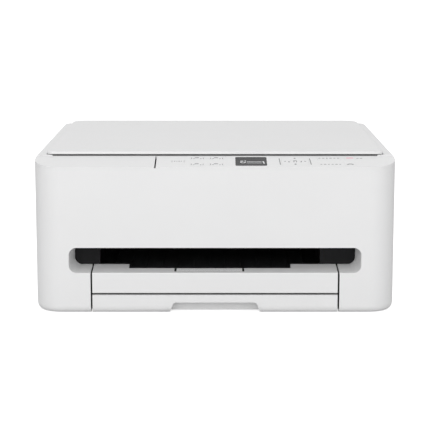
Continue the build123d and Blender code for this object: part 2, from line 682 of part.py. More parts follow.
def output_tray():
    """White head of the output tray: front, sloped top, trough, side skirts, stopper bearings."""
    half = DRAWER_HALF
    head = along_x(tray_profile(0, 0, FUNNEL_DEPTH), -half, half)
    front_top = head.edges().filter_by(Axis.X).group_by(Axis.Y)[0].sort_by(Axis.Z)[-1]
    head = fillet(front_top, 1.0)
    inner = tray_profile(FRONT_PLATE, FRONT_PLATE, FUNNEL_DEPTH + 1)
    inner[0] = (inner[0][0], 0)
    inner[3] = (inner[3][0], 0)
    head = head - along_x(inner, -half + FRONT_PLATE, half - FRONT_PLATE)
    head = head + trough_walls()
    head = head - block(TROUGH_LEFT, TROUGH_RIGHT, y_at(TROUGH_FRONT), y_at(FUNNEL_DEPTH + 1), 0,
                        BODY_HEIGHT)
    for x0, x1 in ((STOPPER_LEFT - STOPPER_EAR, STOPPER_LEFT),
                   (STOPPER_RIGHT, STOPPER_RIGHT + STOPPER_EAR)):
        head = head + block(x0, x1, y_at(FRONT_PLATE), y_at(TROUGH_FRONT), STOPPER_SEAT - FRONT_PLATE,
                            SLOT_FLOOR - 1)
    head = head - block(STOPPER_LEFT, STOPPER_RIGHT, y_at(STOPPER_FRONT), y_at(TROUGH_FRONT + 1),
                        STOPPER_SEAT, BODY_HEIGHT)
    head = head + block(STOPPER_LEFT - STOPPER_EAR, STOPPER_RIGHT + STOPPER_EAR,
                        y_at(FRONT_PLATE), y_at(TROUGH_FRONT), STOPPER_SEAT - FRONT_PLATE, STOPPER_SEAT)
    return head - stopper_axle(SHAFT_FIT)


def trough_walls():
    """Front and side walls of the trough that leads down to the black floor."""
    x0, x1 = TROUGH_LEFT - FRONT_PLATE, TROUGH_RIGHT + FRONT_PLATE
    front = y_at(TROUGH_FRONT - FRONT_PLATE)
    floor_top = TRAY_FLOOR + TRAY_FLOOR_THICKNESS
    drop = block(x0, x1, front, y_at(TROUGH_FRONT), TRAY_FLOOR - FRONT_PLATE, SLOT_FLOOR)
    return drop + block(x0, x1, front, y_at(FUNNEL_DEPTH), floor_top, SLOT_FLOOR)


def stopper_axis():
    """Y and Z of the stopper's pivot, its round nose flush with the head's sloped top."""
    return y_at(STOPPER_AXIS), SLOT_FLOOR + SLOT_SLOPE * STOPPER_AXIS - STOPPER_THICKNESS / 2


def stopper_axle(clearance):
    """Stub pins at both ends of the stopper."""
    y, z = stopper_axis()
    return x_cylinder(STOPPER_LEFT - STOPPER_PIN_LENGTH, STOPPER_RIGHT + STOPPER_PIN_LENGTH, y, z,
                      STOPPER_PIN + clearance)


def paper_stopper():
    """Flap that lies in the tray's top edge and tips up to catch the printed sheets."""
    y, z = stopper_axis()
    nose = STOPPER_THICKNESS / 2
    x0, x1 = STOPPER_LEFT + STOPPER_GAP, STOPPER_RIGHT - STOPPER_GAP
    end = TROUGH_FRONT - FIT
    end_z = z + SLOT_SLOPE * (end - STOPPER_AXIS)
    side_view = [(y, z - nose), (y, z + nose), (y_at(end), end_z + nose), (y_at(end), end_z - nose)]
    flap = along_x(side_view, x0, x1) + x_cylinder(x0, x1, y, z, nose)
    return flap + stopper_axle(0)


def output_tray_floor():
    """Black ribbed plate behind the head, with the runners that ride on the bay's ledges."""
    half = DRAWER_HALF - FRONT_PLATE
    low, high = TRAY_FLOOR, TRAY_FLOOR + TRAY_FLOOR_THICKNESS
    plate = block(-half, half, y_at(TROUGH_FRONT), y_at(TRAY_LENGTH), low, high)
    for rib in range(TRAY_RIBS):
        x = PAPER_CENTRE_X + (rib - (TRAY_RIBS - 1) / 2) * TRAY_RIB_PITCH
        plate = plate + block(x - TRAY_RIB_PLATE / 2, x + TRAY_RIB_PLATE / 2, y_at(TROUGH_FRONT + TRAY_RIB_LEAD),
                              y_at(TRAY_LENGTH - TRAY_RIB_TAIL), high - OVERLAP, high + TRAY_RIB_HEIGHT)
    for side in (-1, 1):
        x0 = side * half
        x1 = side * (half - TRAY_SKIRT)
        skirt = block(min(x0, x1), max(x0, x1), y_at(FUNNEL_DEPTH), y_at(TRAY_LENGTH),
                      LEDGE_TOP + FIT, high)
        plate = plate + skirt
    return plate


def cassette_front():
    """White drawer front with the finger-grip pocket in its lower edge."""
    half = DRAWER_HALF
    top = TRAY_SEAM - TRAY_SEAM_HALF
    head = block(-half, half, FRONT, y_at(CASSETTE_HEAD), SHELL_BOTTOM, top)
    low_front = head.edges().filter_by(Axis.X).group_by(Axis.Z)[0].sort_by(Axis.Y)[0]
    head = fillet(low_front, BOTTOM_EDGE)
    hollow = block(-half + FRONT_PLATE, half - FRONT_PLATE, y_at(FRONT_PLATE + BOTTOM_EDGE / 2),
                   y_at(CASSETTE_HEAD + 1), SHELL_BOTTOM + FRONT_PLATE, top - FRONT_PLATE)
    pocket_half = GRIP_HALF_BOTTOM + FRONT_PLATE
    pocket = block(-pocket_half, pocket_half, FRONT, y_at(CASSETTE_HEAD + 2), 0, GRIP_TOP + FRONT_PLATE)
    head = head - (hollow - pocket)
    corners = [(-GRIP_HALF_BOTTOM, 0), (-GRIP_HALF_TOP, GRIP_TOP), (GRIP_HALF_TOP, GRIP_TOP),
               (GRIP_HALF_BOTTOM, 0)]
    outline = make_face(Polyline(*corners, close=True))
    outline = fillet(outline.vertices().sort_by(Axis.Y)[-2:], GRIP_CORNER)
    upright = Plane(origin=(0, y_at(GRIP_DEPTH), 0), x_dir=(1, 0, 0), z_dir=(0, -1, 0))
    grip = extrude(upright * outline, GRIP_DEPTH + 1, dir=(0, -1, 0))
    return head - grip


def cassette_tray():
    """Dark drawer that holds the paper, open at the top, with rack slots in its floor."""
    half = BAY_HALF_WIDTH - CASSETTE_SIDE_GAP
    front = y_at(CASSETTE_HEAD)
    tray = block(-half, half, front, y_at(CASSETTE_REAR), CASSETTE_FLOOR, CASSETTE_TOP)
    tray = fillet(tray.edges().filter_by(Axis.Z).group_by(Axis.Y)[-1], CASSETTE_CORNER)
    floor = CASSETTE_FLOOR + CASSETTE_WALL
    tray = tray - block(-half + CASSETTE_WALL, half - CASSETTE_WALL, front + CASSETTE_WALL,
                        y_at(CASSETTE_REAR - CASSETTE_WALL), floor, CASSETTE_TOP + 1)
    hub_top = floor + RACK_HEIGHT + 0.8
    hub = z_cylinder(PAPER_CENTRE_X, y_at(GUIDE_POSITION), floor - OVERLAP, hub_top, HUB_RADIUS)
    return tray + hub


def paper_guide(side):
    """Side guide with the toothed bar that runs under the sheets to the pinion."""
    seat = GUIDE_FLOOR + RACK_HEIGHT + FIT
    face = PAPER_CENTRE_X + side * (PAPER_WIDTH + 1) / 2
    outer = face + side * GUIDE_THICKNESS
    middle = y_at(GUIDE_POSITION)
    front, back = middle - GUIDE_LENGTH / 2, middle + GUIDE_LENGTH / 2
    wall = block(*sorted((face, outer)), front, back, seat, seat + GUIDE_HEIGHT)
    foot = block(*sorted((face - side * GUIDE_FOOT, outer)), front, back, seat, seat + 1)
    pitch_line = PINION_TEETH * PINION_MODULE / 2
    root = middle + side * (pitch_line + 1.25 * PINION_MODULE)
    tip = middle + side * (pitch_line - 0.85 * PINION_MODULE)
    bar_y = sorted((root, root + side * RACK_WIDTH))
    tail = PAPER_CENTRE_X - side * (RACK_START + 4)
    bar = block(*sorted((tail, outer)), *bar_y, GUIDE_FLOOR, GUIDE_FLOOR + RACK_HEIGHT)
    riser = block(*sorted((face - side * 4, outer)), *bar_y, GUIDE_FLOOR, seat + 0.5)
    guide = wall + foot + bar + riser
    step = math.pi * PINION_MODULE
    for tooth in range(RACK_TEETH):
        x = PAPER_CENTRE_X - side * RACK_START + side * step * (tooth + rack_shift())
        points = [(x - 0.34 * step, root), (x - 0.12 * step, tip)]
        points += [(x + 0.12 * step, tip), (x + 0.34 * step, root)]
        tooth_face = make_face(Polyline(*points, close=True))
        guide = guide + Pos(0, 0, GUIDE_FLOOR) * extrude(tooth_face, RACK_HEIGHT, dir=(0, 0, 1))
    return guide


def rack_shift():
    """Share of a tooth pitch that puts a tooth space of the rack over the pinion's tooth."""
    steps = RACK_START / (math.pi * PINION_MODULE)
    return steps - math.floor(steps) + 0.5


def guide_pinion():
    """Pinion that keeps both side guides centred on the sheet."""
    wheel = gear(PINION_TEETH, PINION_MODULE, RACK_HEIGHT, 0)
    wheel = wheel - Cylinder(HUB_RADIUS + SHAFT_FIT, 4 * RACK_HEIGHT)
    return Pos(PAPER_CENTRE_X, y_at(GUIDE_POSITION), GUIDE_FLOOR) * wheel


def rear_guide():
    """Stop for the trailing edge of the sheets."""
    y = y_at(CASSETTE_HEAD + CASSETTE_WALL + 2)
    x0, x1 = PAPER_CENTRE_X - REAR_GUIDE_HALF, PAPER_CENTRE_X + REAR_GUIDE_HALF
    foot = block(x0, x1, y, y + REAR_GUIDE_FOOT, GUIDE_FLOOR, GUIDE_FLOOR + 1.2)
    wall = block(x0, x1, y, y + GUIDE_THICKNESS, GUIDE_FLOOR, GUIDE_FLOOR + GUIDE_HEIGHT)
    return foot + wall


def side_plate(side):
    """Upright steel plate with rounded upper corners and two lightening holes."""
    x0, x1 = sorted((side * SIDE_PLATE_X, side * (SIDE_PLATE_X + SIDE_PLATE)))
    plate = block(x0, x1, y_at(SIDE_PLATE_FRONT), y_at(SIDE_PLATE_REAR), PAN_TOP, SIDE_PLATE_TOP)
    plate = fillet(plate.edges().filter_by(Axis.X).group_by(Axis.Z)[-1], SIDE_PLATE_CORNER)
    for distance in (SIDE_PLATE_FRONT + LIGHTENING_INSET, SIDE_PLATE_REAR - LIGHTENING_INSET):
        plate = plate - x_cylinder(x0 - 1, x1 + 1, y_at(distance), LIGHTENING_HEIGHT, LIGHTENING_RADIUS)
    return plate


def cross_plate():
    """Steel plate with a row of windows that joins the side plates at the back."""
    back = y_at(SIDE_PLATE_REAR)
    cross = block(-SIDE_PLATE_X, SIDE_PLATE_X, back - SIDE_PLATE, back, CROSS_BOTTOM, CROSS_TOP)
    pitch = 2 * SIDE_PLATE_X / (CROSS_HOLES + 1)
    half, middle = CROSS_HOLE_WIDTH / 2, (CROSS_BOTTOM + CROSS_TOP) / 2
    for hole in range(CROSS_HOLES):
        x = (hole - (CROSS_HOLES - 1) / 2) * pitch
        cross = cross - block(x - half, x + half, back - 2 * SIDE_PLATE, back + SIDE_PLATE,
                              middle - CROSS_HOLE_HEIGHT / 2, middle + CROSS_HOLE_HEIGHT / 2)
    return cross


def chassis_frame():
    """Folded steel frame: two side plates joined by a rear cross plate and a motor bracket."""
    frame = side_plate(-1) + side_plate(1) + cross_plate()
    motor_y, motor_z = feed_motor_axis()
    y0, y1 = motor_y - BRACKET_HALF, motor_y + BRACKET_HALF
    face = block(BRACKET_X, BRACKET_X + SIDE_PLATE, y0, y1, BRACKET_BOTTOM, motor_z + BRACKET_HALF)
    web = block(-SIDE_PLATE_X, BRACKET_X, y0, y1, BRACKET_BOTTOM, BRACKET_BOTTOM + SIDE_PLATE)
    face = face - x_cylinder(BRACKET_X - 1, BRACKET_X + 3, motor_y, motor_z, MOTOR_NOSE_RADIUS + 0.4)
    idler_y, idler_z = idler_axis()
    stub = x_cylinder(-SIDE_PLATE_X, GEAR_X + GEAR_WIDTH + 1, idler_y, idler_z, SHAFT_RADIUS)
    return frame + face + web + stub


def idler_axis():
    """Y and Z of the idler, half way between the feed gear and the exit gear along their line."""
    reach = GEAR_MODULE * (FEED_TEETH + IDLER_TEETH) / 2
    return y_at(FEED_SHAFT) - reach, SHAFT_HEIGHT


def feed_motor_axis():
    """Y and Z of the motor's shaft, its pinion in mesh behind the feed gear."""
    return y_at(FEED_SHAFT) + GEAR_MODULE * (FEED_TEETH + MOTOR_TEETH) / 2, SHAFT_HEIGHT


def carriage_rail():
    """Bent steel rail that the carriage slides along."""
    y = y_at(RAIL_FACE)
    web = block(-SIDE_PLATE_X, SIDE_PLATE_X, y, y + RAIL_PLATE, RAIL_BOTTOM, RAIL_TOP)
    lower = block(-SIDE_PLATE_X, SIDE_PLATE_X, y, y + RAIL_FLANGE, RAIL_BOTTOM, RAIL_BOTTOM + RAIL_PLATE)
    x, pin_y = BELT_SPAN_X, y_at(BELT_LINE)
    z = BELT_Z - BELT_ARM_DROP
    arm = block(x - BELT_ARM_HALF, x + BELT_ARM_HALF, y, pin_y + BELT_ARM_HALF, z, z + RAIL_PLATE)
    return web + lower + arm + z_cylinder(x, pin_y, z, BELT_Z + BELT_AXLE_RISE, AXLE_RADIUS)


def roller_shaft(distance, height, roller_radius):
    """Steel shaft with its row of rubber rollers."""
    y = y_at(distance)
    shaft = x_cylinder(GEAR_X - 3, BAY_OUTER + 2, y, height, SHAFT_RADIUS)
    span = PAPER_WIDTH - ROLLER_WIDTH - 6
    for index in range(ROLLER_COUNT):
        x = PAPER_CENTRE_X - span / 2 + span * index / (ROLLER_COUNT - 1)
        shaft = shaft + x_cylinder(x - ROLLER_WIDTH / 2, x + ROLLER_WIDTH / 2, y, height, roller_radius)
    return shaft


def feed_gear():
    """Large gear pressed on the feed shaft."""
    return x_gear(FEED_TEETH, y_at(FEED_SHAFT), SHAFT_HEIGHT, SHAFT_RADIUS, 180 / FEED_TEETH)


def feed_roller():
    """Feed shaft with its rollers, and its gear as a solid of its own."""
    shaft = roller_shaft(FEED_SHAFT, SHAFT_HEIGHT, FEED_ROLLER_RADIUS)
    return Compound(children=[shaft, feed_gear()])


def exit_roller():
    """Exit shaft with its rollers, and its gear as a solid of its own."""
    shaft = roller_shaft(EXIT_SHAFT, SHAFT_HEIGHT, EXIT_ROLLER_RADIUS)
    return Compound(children=[shaft, exit_gear()])


def idler_gear():
    """Idler that carries the drive from the feed gear to the exit gear."""
    y, z = idler_axis()
    return x_gear(IDLER_TEETH, y, z, SHAFT_RADIUS + SHAFT_FIT, 0)


def exit_gear():
    """Gear pressed on the exit shaft."""
    half_tooth = 180 / EXIT_TEETH
    odd = 180 * (IDLER_TEETH + 1) / IDLER_TEETH
    turn = (180 - odd) * IDLER_TEETH / EXIT_TEETH
    return x_gear(EXIT_TEETH, y_at(EXIT_SHAFT), SHAFT_HEIGHT, SHAFT_RADIUS, half_tooth + turn)


def motor_pinion():
    """Pinion on the feed motor's shaft."""
    y, z = feed_motor_axis()
    return x_gear(MOTOR_TEETH, y, z, AXLE_RADIUS + SHAFT_FIT, 0)


def feed_motor():
    """Small can motor that drives the rollers."""
    y, z = feed_motor_axis()
    start = BRACKET_X + SIDE_PLATE
    end = -BAY_OUTER - 1
    can = x_cylinder(start, end, y, z, MOTOR_RADIUS)
    can = chamfer(can.edges().filter_by(GeomType.CIRCLE).sort_by(Axis.X)[-1], MOTOR_EDGE)
    nose = x_cylinder(start - SIDE_PLATE, start, y, z, MOTOR_NOSE_RADIUS)
    return can + nose + x_cylinder(GEAR_X - 1, start, y, z, AXLE_RADIUS)


def platen():
    """Black ribbed bed under the print head, standing on the bay's side walls."""
    half = BAY_OUTER
    y0, y1 = y_at(PLATEN_FRONT), y_at(PLATEN_REAR)
    top = PLATEN_TOP - PLATEN_PLATE
    bed = block(-half, half, y0, y1, top - PLATEN_PLATE, top)
    for side in (-1, 1):
        x0, x1 = sorted((side * half, side * (half - BAY_WALL)))
        bed = bed + block(x0, x1, y0, y1, BAY_WALL_TOP, top)
    span = PAPER_WIDTH + PLATEN_MARGIN
    half_rib = PLATEN_RIB_PLATE / 2
    for rib in range(PLATEN_RIBS):
        x = PAPER_CENTRE_X - span / 2 + rib * span / (PLATEN_RIBS - 1)
        bed = bed + block(x - half_rib, x + half_rib, y0 + 2, y1 - 2, top - OVERLAP, PLATEN_TOP)
    return bed


def carriage_box():
    """Open box of the print carriage with a window for each print head."""
    x0, x1 = carriage_span()
    y0, y1 = y_at(CARRIAGE_FRONT), y_at(CARRIAGE_REAR)
    body = block(x0, x1, y0, y1, CARRIAGE_BOTTOM, CARRIAGE_TOP)
    body = fillet(body.edges().filter_by(Axis.Z), 2.0)
    for bay in (0, 1):
        bx0, bx1 = bay_span(bay)
        body = body - block(bx0, bx1, y0 + CARRIAGE_WALL, y1 - CARRIAGE_WALL,
                            CARRIAGE_BOTTOM + CARRIAGE_WALL, CARRIAGE_TOP + 1)
        body = body - block(bx0 + HEAD_INSET_X, bx1 - HEAD_INSET_X, y0 + HEAD_INSET_Y, y1 - HEAD_INSET_Y,
                            CARRIAGE_BOTTOM - 1, CARRIAGE_BOTTOM + CARRIAGE_WALL + 1)
    return body


def carriage_span():
    """X limits of the print carriage at its home place."""
    return CARRIAGE_HOME_X - CARRIAGE_WIDTH / 2, CARRIAGE_HOME_X + CARRIAGE_WIDTH / 2


def carriage():
    """Print carriage: open cartridge bays, rail shoe and belt clamp."""
    x0, x1 = carriage_span()
    y1 = y_at(CARRIAGE_REAR)
    face = y_at(RAIL_FACE)
    behind = face + RAIL_PLATE + FIT
    root = y1 - 0.5
    shoe_z = RAIL_BOTTOM + SHOE_RISE
    shoe = block(x0 + SHOE_INSET, x1 - SHOE_INSET, root, face - FIT, shoe_z, shoe_z + SHOE_HEIGHT)
    low, high = RAIL_TOP + FIT, RAIL_TOP + FIT + ARM_PLATE
    nx0, nx1 = x0 + NECK_INSET, x1 - NECK_INSET
    neck = block(nx0, nx1, root, y1 + 3, CARRIAGE_BOTTOM + 10, high)
    arm = block(nx0, nx1, root, behind + HOOK_PLATE, low, high)
    hook = block(nx0, nx1, behind, behind + HOOK_PLATE, BELT_Z - BELT_HEIGHT, high)
    front_run = y_at(BELT_LINE - BELT_RADIUS - FIT - BELT_THICKNESS)
    clamp = block(CARRIAGE_HOME_X - CLAMP_HALF, CARRIAGE_HOME_X + CLAMP_HALF, behind,
                  front_run - FIT, BELT_Z - BELT_HEIGHT, BELT_Z + BELT_HEIGHT)
    body = carriage_box() + shoe + neck + arm + hook + clamp
    pin_y, pin_z = latch_axis()
    half = EAR_PLATE / 2
    for x in (x0 + half, CARRIAGE_HOME_X, x1 - half):
        body = body + block(x - half, x + half, pin_y - 3, y1, CARRIAGE_TOP - 1, pin_z + 2.4)
    return body + x_cylinder(x0, x1, pin_y, pin_z, LATCH_PIN_RADIUS)


def bay_span(bay):
    """X limits of a cartridge bay."""
    width = (CARRIAGE_WIDTH - 3 * CARRIAGE_WALL) / 2
    start = CARRIAGE_HOME_X - CARRIAGE_WIDTH / 2 + CARRIAGE_WALL + bay * (width + CARRIAGE_WALL)
    return start, start + width


def latch_axis():
    """Y and Z of the latch pivots at the back of the carriage."""
    return y_at(CARRIAGE_REAR) - 3.4, CARRIAGE_TOP + 2.6


def cartridge(bay):
    """Ink cartridge with its print head nose and its thumb step."""
    bx0, bx1 = bay_span(bay)
    front, rear = y_at(CARRIAGE_FRONT), y_at(CARRIAGE_REAR)
    inset = CARRIAGE_WALL + CARTRIDGE_FIT
    bottom = CARRIAGE_BOTTOM + CARRIAGE_WALL
    x0, x1 = bx0 + CARTRIDGE_FIT, bx1 - CARTRIDGE_FIT
    tank = block(x0, x1, front + inset, rear - inset, bottom, CARRIAGE_TOP - 2)
    tank = fillet(tank.edges().filter_by(Axis.Z), 1.5)
    step = block(x0 - 1, x1 + 1, front, front + THUMB_STEP, CARRIAGE_TOP - THUMB_STEP, CARRIAGE_TOP)
    reach_x, reach_y = HEAD_INSET_X + CARTRIDGE_FIT, HEAD_INSET_Y + CARTRIDGE_FIT
    nose = block(bx0 + reach_x, bx1 - reach_x, front + reach_y, rear - reach_y,
                 CARRIAGE_BOTTOM - 0.8, bottom + 0.5)
    return tank - step + nose


def cartridge_latch(bay):
    """Cover that presses a cartridge down and tips up from its pivot."""
    bx0, bx1 = bay_span(bay)
    y, z = latch_axis()
    front = y_at(CARRIAGE_FRONT)
    half = LATCH_THICKNESS / 2
    x0, x1 = bx0 + 0.8, bx1 - 0.8
    plate = block(x0, x1, front - LATCH_OVERHANG, y, z - half, z + half)
    knuckle = x_cylinder(x0, x1, y, z, LATCH_PIN_RADIUS + LATCH_KNUCKLE)
    lip = block(x0 + 4, x1 - 4, front - LATCH_OVERHANG, front - 0.8, z - LATCH_LIP, z)
    flap = plate + knuckle + lip
    window = block(x0 + 5, x1 - 5, front + 8, y - 12, z - LATCH_THICKNESS, z + LATCH_THICKNESS)
    return flap - window - x_cylinder(x0 - 1, x1 + 1, y, z, LATCH_PIN_RADIUS + SHAFT_FIT)


def carriage_belt():
    """Toothed belt in one loop round the drive pulley and the tension pulley."""
    loop = belt_loop(BELT_RADIUS + FIT + BELT_THICKNESS) - belt_loop(BELT_RADIUS + FIT)
    return Pos(0, y_at(BELT_LINE), BELT_Z - BELT_HEIGHT / 2) * extrude(loop, BELT_HEIGHT, dir=(0, 0, 1))


def belt_loop(radius):
    """Stadium outline round both pulleys."""
    return SlotCenterToCenter(2 * BELT_SPAN_X, 2 * radius)


def belt_pulley(side):
    """Flanged pulley with its axis upright."""
    x, y = side * BELT_SPAN_X, y_at(BELT_LINE)
    half = BELT_HEIGHT / 2 + PULLEY_PLAY
    wheel = z_cylinder(x, y, BELT_Z - half, BELT_Z + half, BELT_RADIUS)
    for z in (BELT_Z - half - PULLEY_FLANGE_PLATE, BELT_Z + half):
        wheel = wheel + z_cylinder(x, y, z, z + PULLEY_FLANGE_PLATE, BELT_RADIUS + PULLEY_FLANGE)
    return wheel - z_cylinder(x, y, 0, BODY_HEIGHT, AXLE_RADIUS + SHAFT_FIT)


def carriage_motor():
    """Motor under the left pulley, on the rail's lower flange, with its shaft upwards."""
    x, y = -BELT_SPAN_X, y_at(BELT_LINE)
    bottom = RAIL_BOTTOM + RAIL_PLATE
    top = BELT_Z - MOTOR_TOP_GAP
    can = z_cylinder(x, y + MOTOR_SHIFT, bottom, top, SMALL_MOTOR_RADIUS)
    return can + z_cylinder(x, y, top - 1, BELT_Z + BELT_AXLE_RISE, AXLE_RADIUS)


def cap_unit():
    """Rising rubber caps that seal the print head at rest."""
    inset = STATION_WALL + FIT
    x0, x1 = STATION_LEFT + inset, STATION_RIGHT - inset
    y0, y1 = y_at(STATION_FRONT + inset), y_at(STATION_REAR - inset)
    top = STATION_TOP + 2
    sled = block(x0, x1, y0, y1, STATION_TOP - STATION_DEPTH + FIT, top)
    width = (x1 - x0 - 6) / 2
    for index in (0, 1):
        left = x0 + 2 + index * (width + 2)
        right = left + width
        cup = block(left, right, y0 + CAP_INSET, y1 - CAP_INSET, top, top + CAP_HEIGHT)
        hollow = block(left + CAP_WALL, right - CAP_WALL, y0 + CAP_INSET + CAP_WALL,
                       y1 - CAP_INSET - CAP_WALL, top + 1, top + CAP_HEIGHT + 1)
        sled = sled + cup - hollow
    return sled


def power_supply():
    """Closed power module behind the left side of the bay, moulded with its mains inlet."""
    box = block(SUPPLY_LEFT, SUPPLY_RIGHT, y_at(SUPPLY_FRONT), y_at(SUPPLY_REAR), PAN_TOP, SUPPLY_TOP)
    return fillet(box.edges().filter_by(Axis.Z), SUPPLY_CORNER) + power_inlet()


def power_inlet():
    """Two-pin inlet for a mains lead in the rear wall."""
    half_w, half_h = INLET_WIDTH / 2, INLET_HEIGHT / 2
    face = REAR - SOCKET_SETBACK
    body = block(INLET_X - half_w, INLET_X + half_w, y_at(SUPPLY_REAR) - OVERLAP, face, INLET_Z - half_h,
                 INLET_Z + half_h)
    well = Plane(origin=(INLET_X, face, INLET_Z), x_dir=(1, 0, 0), z_dir=(0, 1, 0))
    outline = SlotOverall(INLET_WIDTH - 2 * INLET_RIM, INLET_HEIGHT - 2 * INLET_RIM)
    body = body - extrude(well * outline, INLET_WELL, dir=(0, -1, 0))
    for side in (-1, 1):
        place = Pos(INLET_X + side * INLET_PIN_SPREAD, face - INLET_WELL / 2 - 1, INLET_Z)
        body = body + place * Rot(90, 0, 0) * Cylinder(INLET_PIN_RADIUS, INLET_WELL)
    return body


def main_board():
    """Circuit board upright outside the right side plate, with its chips and its data socket."""
    face = SIDE_PLATE_X + SIDE_PLATE + MAIN_BOARD_GAP
    back = face + MAIN_BOARD_PLATE
    end = REAR - SOCKET_DEPTH
    board = block(face, back, y_at(MAIN_BOARD_FRONT), end, MAIN_BOARD_BOTTOM, MAIN_BOARD_TOP)
    for lead, size, z in CHIPS:
        y = y_at(MAIN_BOARD_FRONT + lead)
        board = board + block(face - CHIP_HEIGHT, face + OVERLAP, y, y + size, z, z + size)
    half = USB_SIZE / 2
    inner = half - SOCKET_WALL
    shell = block(USB_X - half, USB_X + half, end, REAR - SOCKET_SETBACK, USB_Z - half, USB_Z + half)
    shell = shell - block(USB_X - inner, USB_X + inner, REAR - SOCKET_WELL, REAR,
                          USB_Z - inner, USB_Z + inner)
    arm = block(USB_X, back, end - 3, end + OVERLAP, USB_Z - half, USB_Z + half)
    tongue = block(USB_X - TONGUE_HALF_WIDTH, USB_X + TONGUE_HALF_WIDTH, REAR - SOCKET_WELL - OVERLAP,
                   REAR - SOCKET_WALL, USB_Z - TONGUE_HALF_HEIGHT, USB_Z + TONGUE_HALF_HEIGHT)
    return board + arm + shell + tongue


def turn_ring(x0, x1, outer, inner):
    """Rear upper half of a tube round the turn, clear of the cassette."""
    y, z = y_at(TURN_CENTRE), TURN_HEIGHT
    ring = x_cylinder(x0, x1, y, z, outer) - x_cylinder(x0 - 1, x1 + 1, y, z, inner)
    ring = ring - block(-BODY_WIDTH, BODY_WIDTH, y - 2 * outer, y, -2 * outer, z + 2 * outer)
    return ring - block(-BODY_WIDTH, BODY_WIDTH, y - 1, y + 2 * outer, -2 * outer, CASSETTE_TOP + 2)


def turn_guide():
    """Curved guide that turns the sheet round from the cassette to the feed roller."""
    half = BAY_HALF_WIDTH - TURN_INSET
    guide = turn_ring(-half, half, TURN_RADIUS, TURN_RADIUS - THIN_WALL)
    for index in range(TURN_RIBS):
        x = PAPER_CENTRE_X + (index - (TURN_RIBS - 1) / 2) * TURN_RIB_PITCH
        rib = turn_ring(x - TURN_RIB_PLATE / 2, x + TURN_RIB_PLATE / 2, TURN_RADIUS + TURN_RIB_HEIGHT,
                        TURN_RADIUS - 0.5)
        guide = guide + rib
    for side in (-1, 1):
        x0, x1 = sorted((side * half, side * (half + TURN_POST)))
        guide = guide + block(x0, x1, y_at(CASSETTE_REAR + 2), y_at(TURN_CENTRE) + TURN_RADIUS, PAN_TOP,
                              TURN_HEIGHT + TURN_POST_RISE)
    return guide


def pickup_arm():
    """Cross shaft with the swinging arm that brings the pick-up roller down on the paper."""
    pivot_y, pivot_z = y_at(PICKUP_PIVOT), PICKUP_HEIGHT
    x0, x1 = PAPER_CENTRE_X - PICKUP_WIDTH / 2, PAPER_CENTRE_X + PICKUP_WIDTH / 2
    tip_y, tip_z = pickup_tip()
    side_view = [(pivot_y, pivot_z + 4), (tip_y, tip_z + 4), (tip_y, tip_z - 3), (pivot_y, pivot_z - 4)]
    arm = x_cylinder(x0, x1, pivot_y, pivot_z, PICKUP_HUB) + along_x(side_view, x0, x1)
    arm = arm - block(x0 + PICKUP_EAR, x1 - PICKUP_EAR, tip_y - PICKUP_RADIUS - 1.5,
                      tip_y + PICKUP_RADIUS + 1, 0, BODY_HEIGHT)
    for start in (x0, x1 - PICKUP_EAR):
        arm = arm + x_cylinder(start, start + PICKUP_EAR, tip_y, tip_z, PICKUP_EAR)
    arm = arm + x_cylinder(x0, x1, tip_y, tip_z, AXLE_RADIUS)
    return arm + x_cylinder(-BAY_OUTER, BAY_OUTER, pivot_y, pivot_z, SHAFT_RADIUS)


def pickup_tip():
    """Y and Z of the pick-up roller in the raised rest pose."""
    return y_at(PICKUP_PIVOT + PICKUP_REACH), PICKUP_HEIGHT - PICKUP_DROP


def pickup_roller():
    """Soft roller at the arm's tip."""
    y, z = pickup_tip()
    x0, x1 = PAPER_CENTRE_X - PICKUP_ROLLER_HALF, PAPER_CENTRE_X + PICKUP_ROLLER_HALF
    wheel = x_cylinder(x0, x1, y, z, PICKUP_RADIUS)
    return wheel - x_cylinder(x0 - 1, x1 + 1, y, z, AXLE_RADIUS + SHAFT_FIT)


def scanner_tub():
    """Open box under the glass that holds the scanning head and its rod."""
    y0, y1 = y_at(TUB_FRONT), y_at(TUB_REAR)
    half = TUB_HALF
    top = SEAM_HEIGHT - FIT
    tub = block(-half, half, y0, y1, TUB_BOTTOM, top)
    tub = fillet(tub.edges().filter_by(Axis.Z), TUB_CORNER)
    tub = chamfer(tub.edges().group_by(Axis.Z)[0], TUB_EDGE)
    inner = block(-half + THIN_WALL, half - THIN_WALL, y0 + THIN_WALL, y1 - THIN_WALL,
                  TUB_BOTTOM + THIN_WALL, top + 1)
    inner = fillet(inner.edges().filter_by(Axis.Z), TUB_CORNER - THIN_WALL)
    tub = tub - inner
    tub = tub - block(-half - 1, half + 1, y0 - 1, y0 + TUB_CORNER + 0.5, SEAM_HEIGHT - 9, top + 1)
    for rib in range(TUB_RIBS):
        x = (rib - (TUB_RIBS - 1) / 2) * TUB_RIB_PITCH
        tub = tub + block(x - RIB_PLATE / 2, x + RIB_PLATE / 2, y0 + 1, y1 - 1,
                          TUB_BOTTOM + 1, TUB_BOTTOM + 4)
    rod_y = y_at(GLASS_CENTRE)
    for side in (-1, 1):
        x0, x1 = sorted((side * (half - ROD_BLOCK), side * (half - 1)))
        tub = tub + block(x0, x1, rod_y - ROD_BLOCK / 2, rod_y + ROD_BLOCK / 2, TUB_BOTTOM + 1,
                          SCAN_ROD_HEIGHT + 2 * SCAN_ROD_RADIUS)
    tub = tub - x_cylinder(-half + ROD_INSET, half - ROD_INSET, rod_y, SCAN_ROD_HEIGHT,
                           SCAN_ROD_RADIUS + ROD_SEAT)
    return tub + unit_lug(-1) + unit_lug(1) - unit_bore(-1) - unit_bore(1)


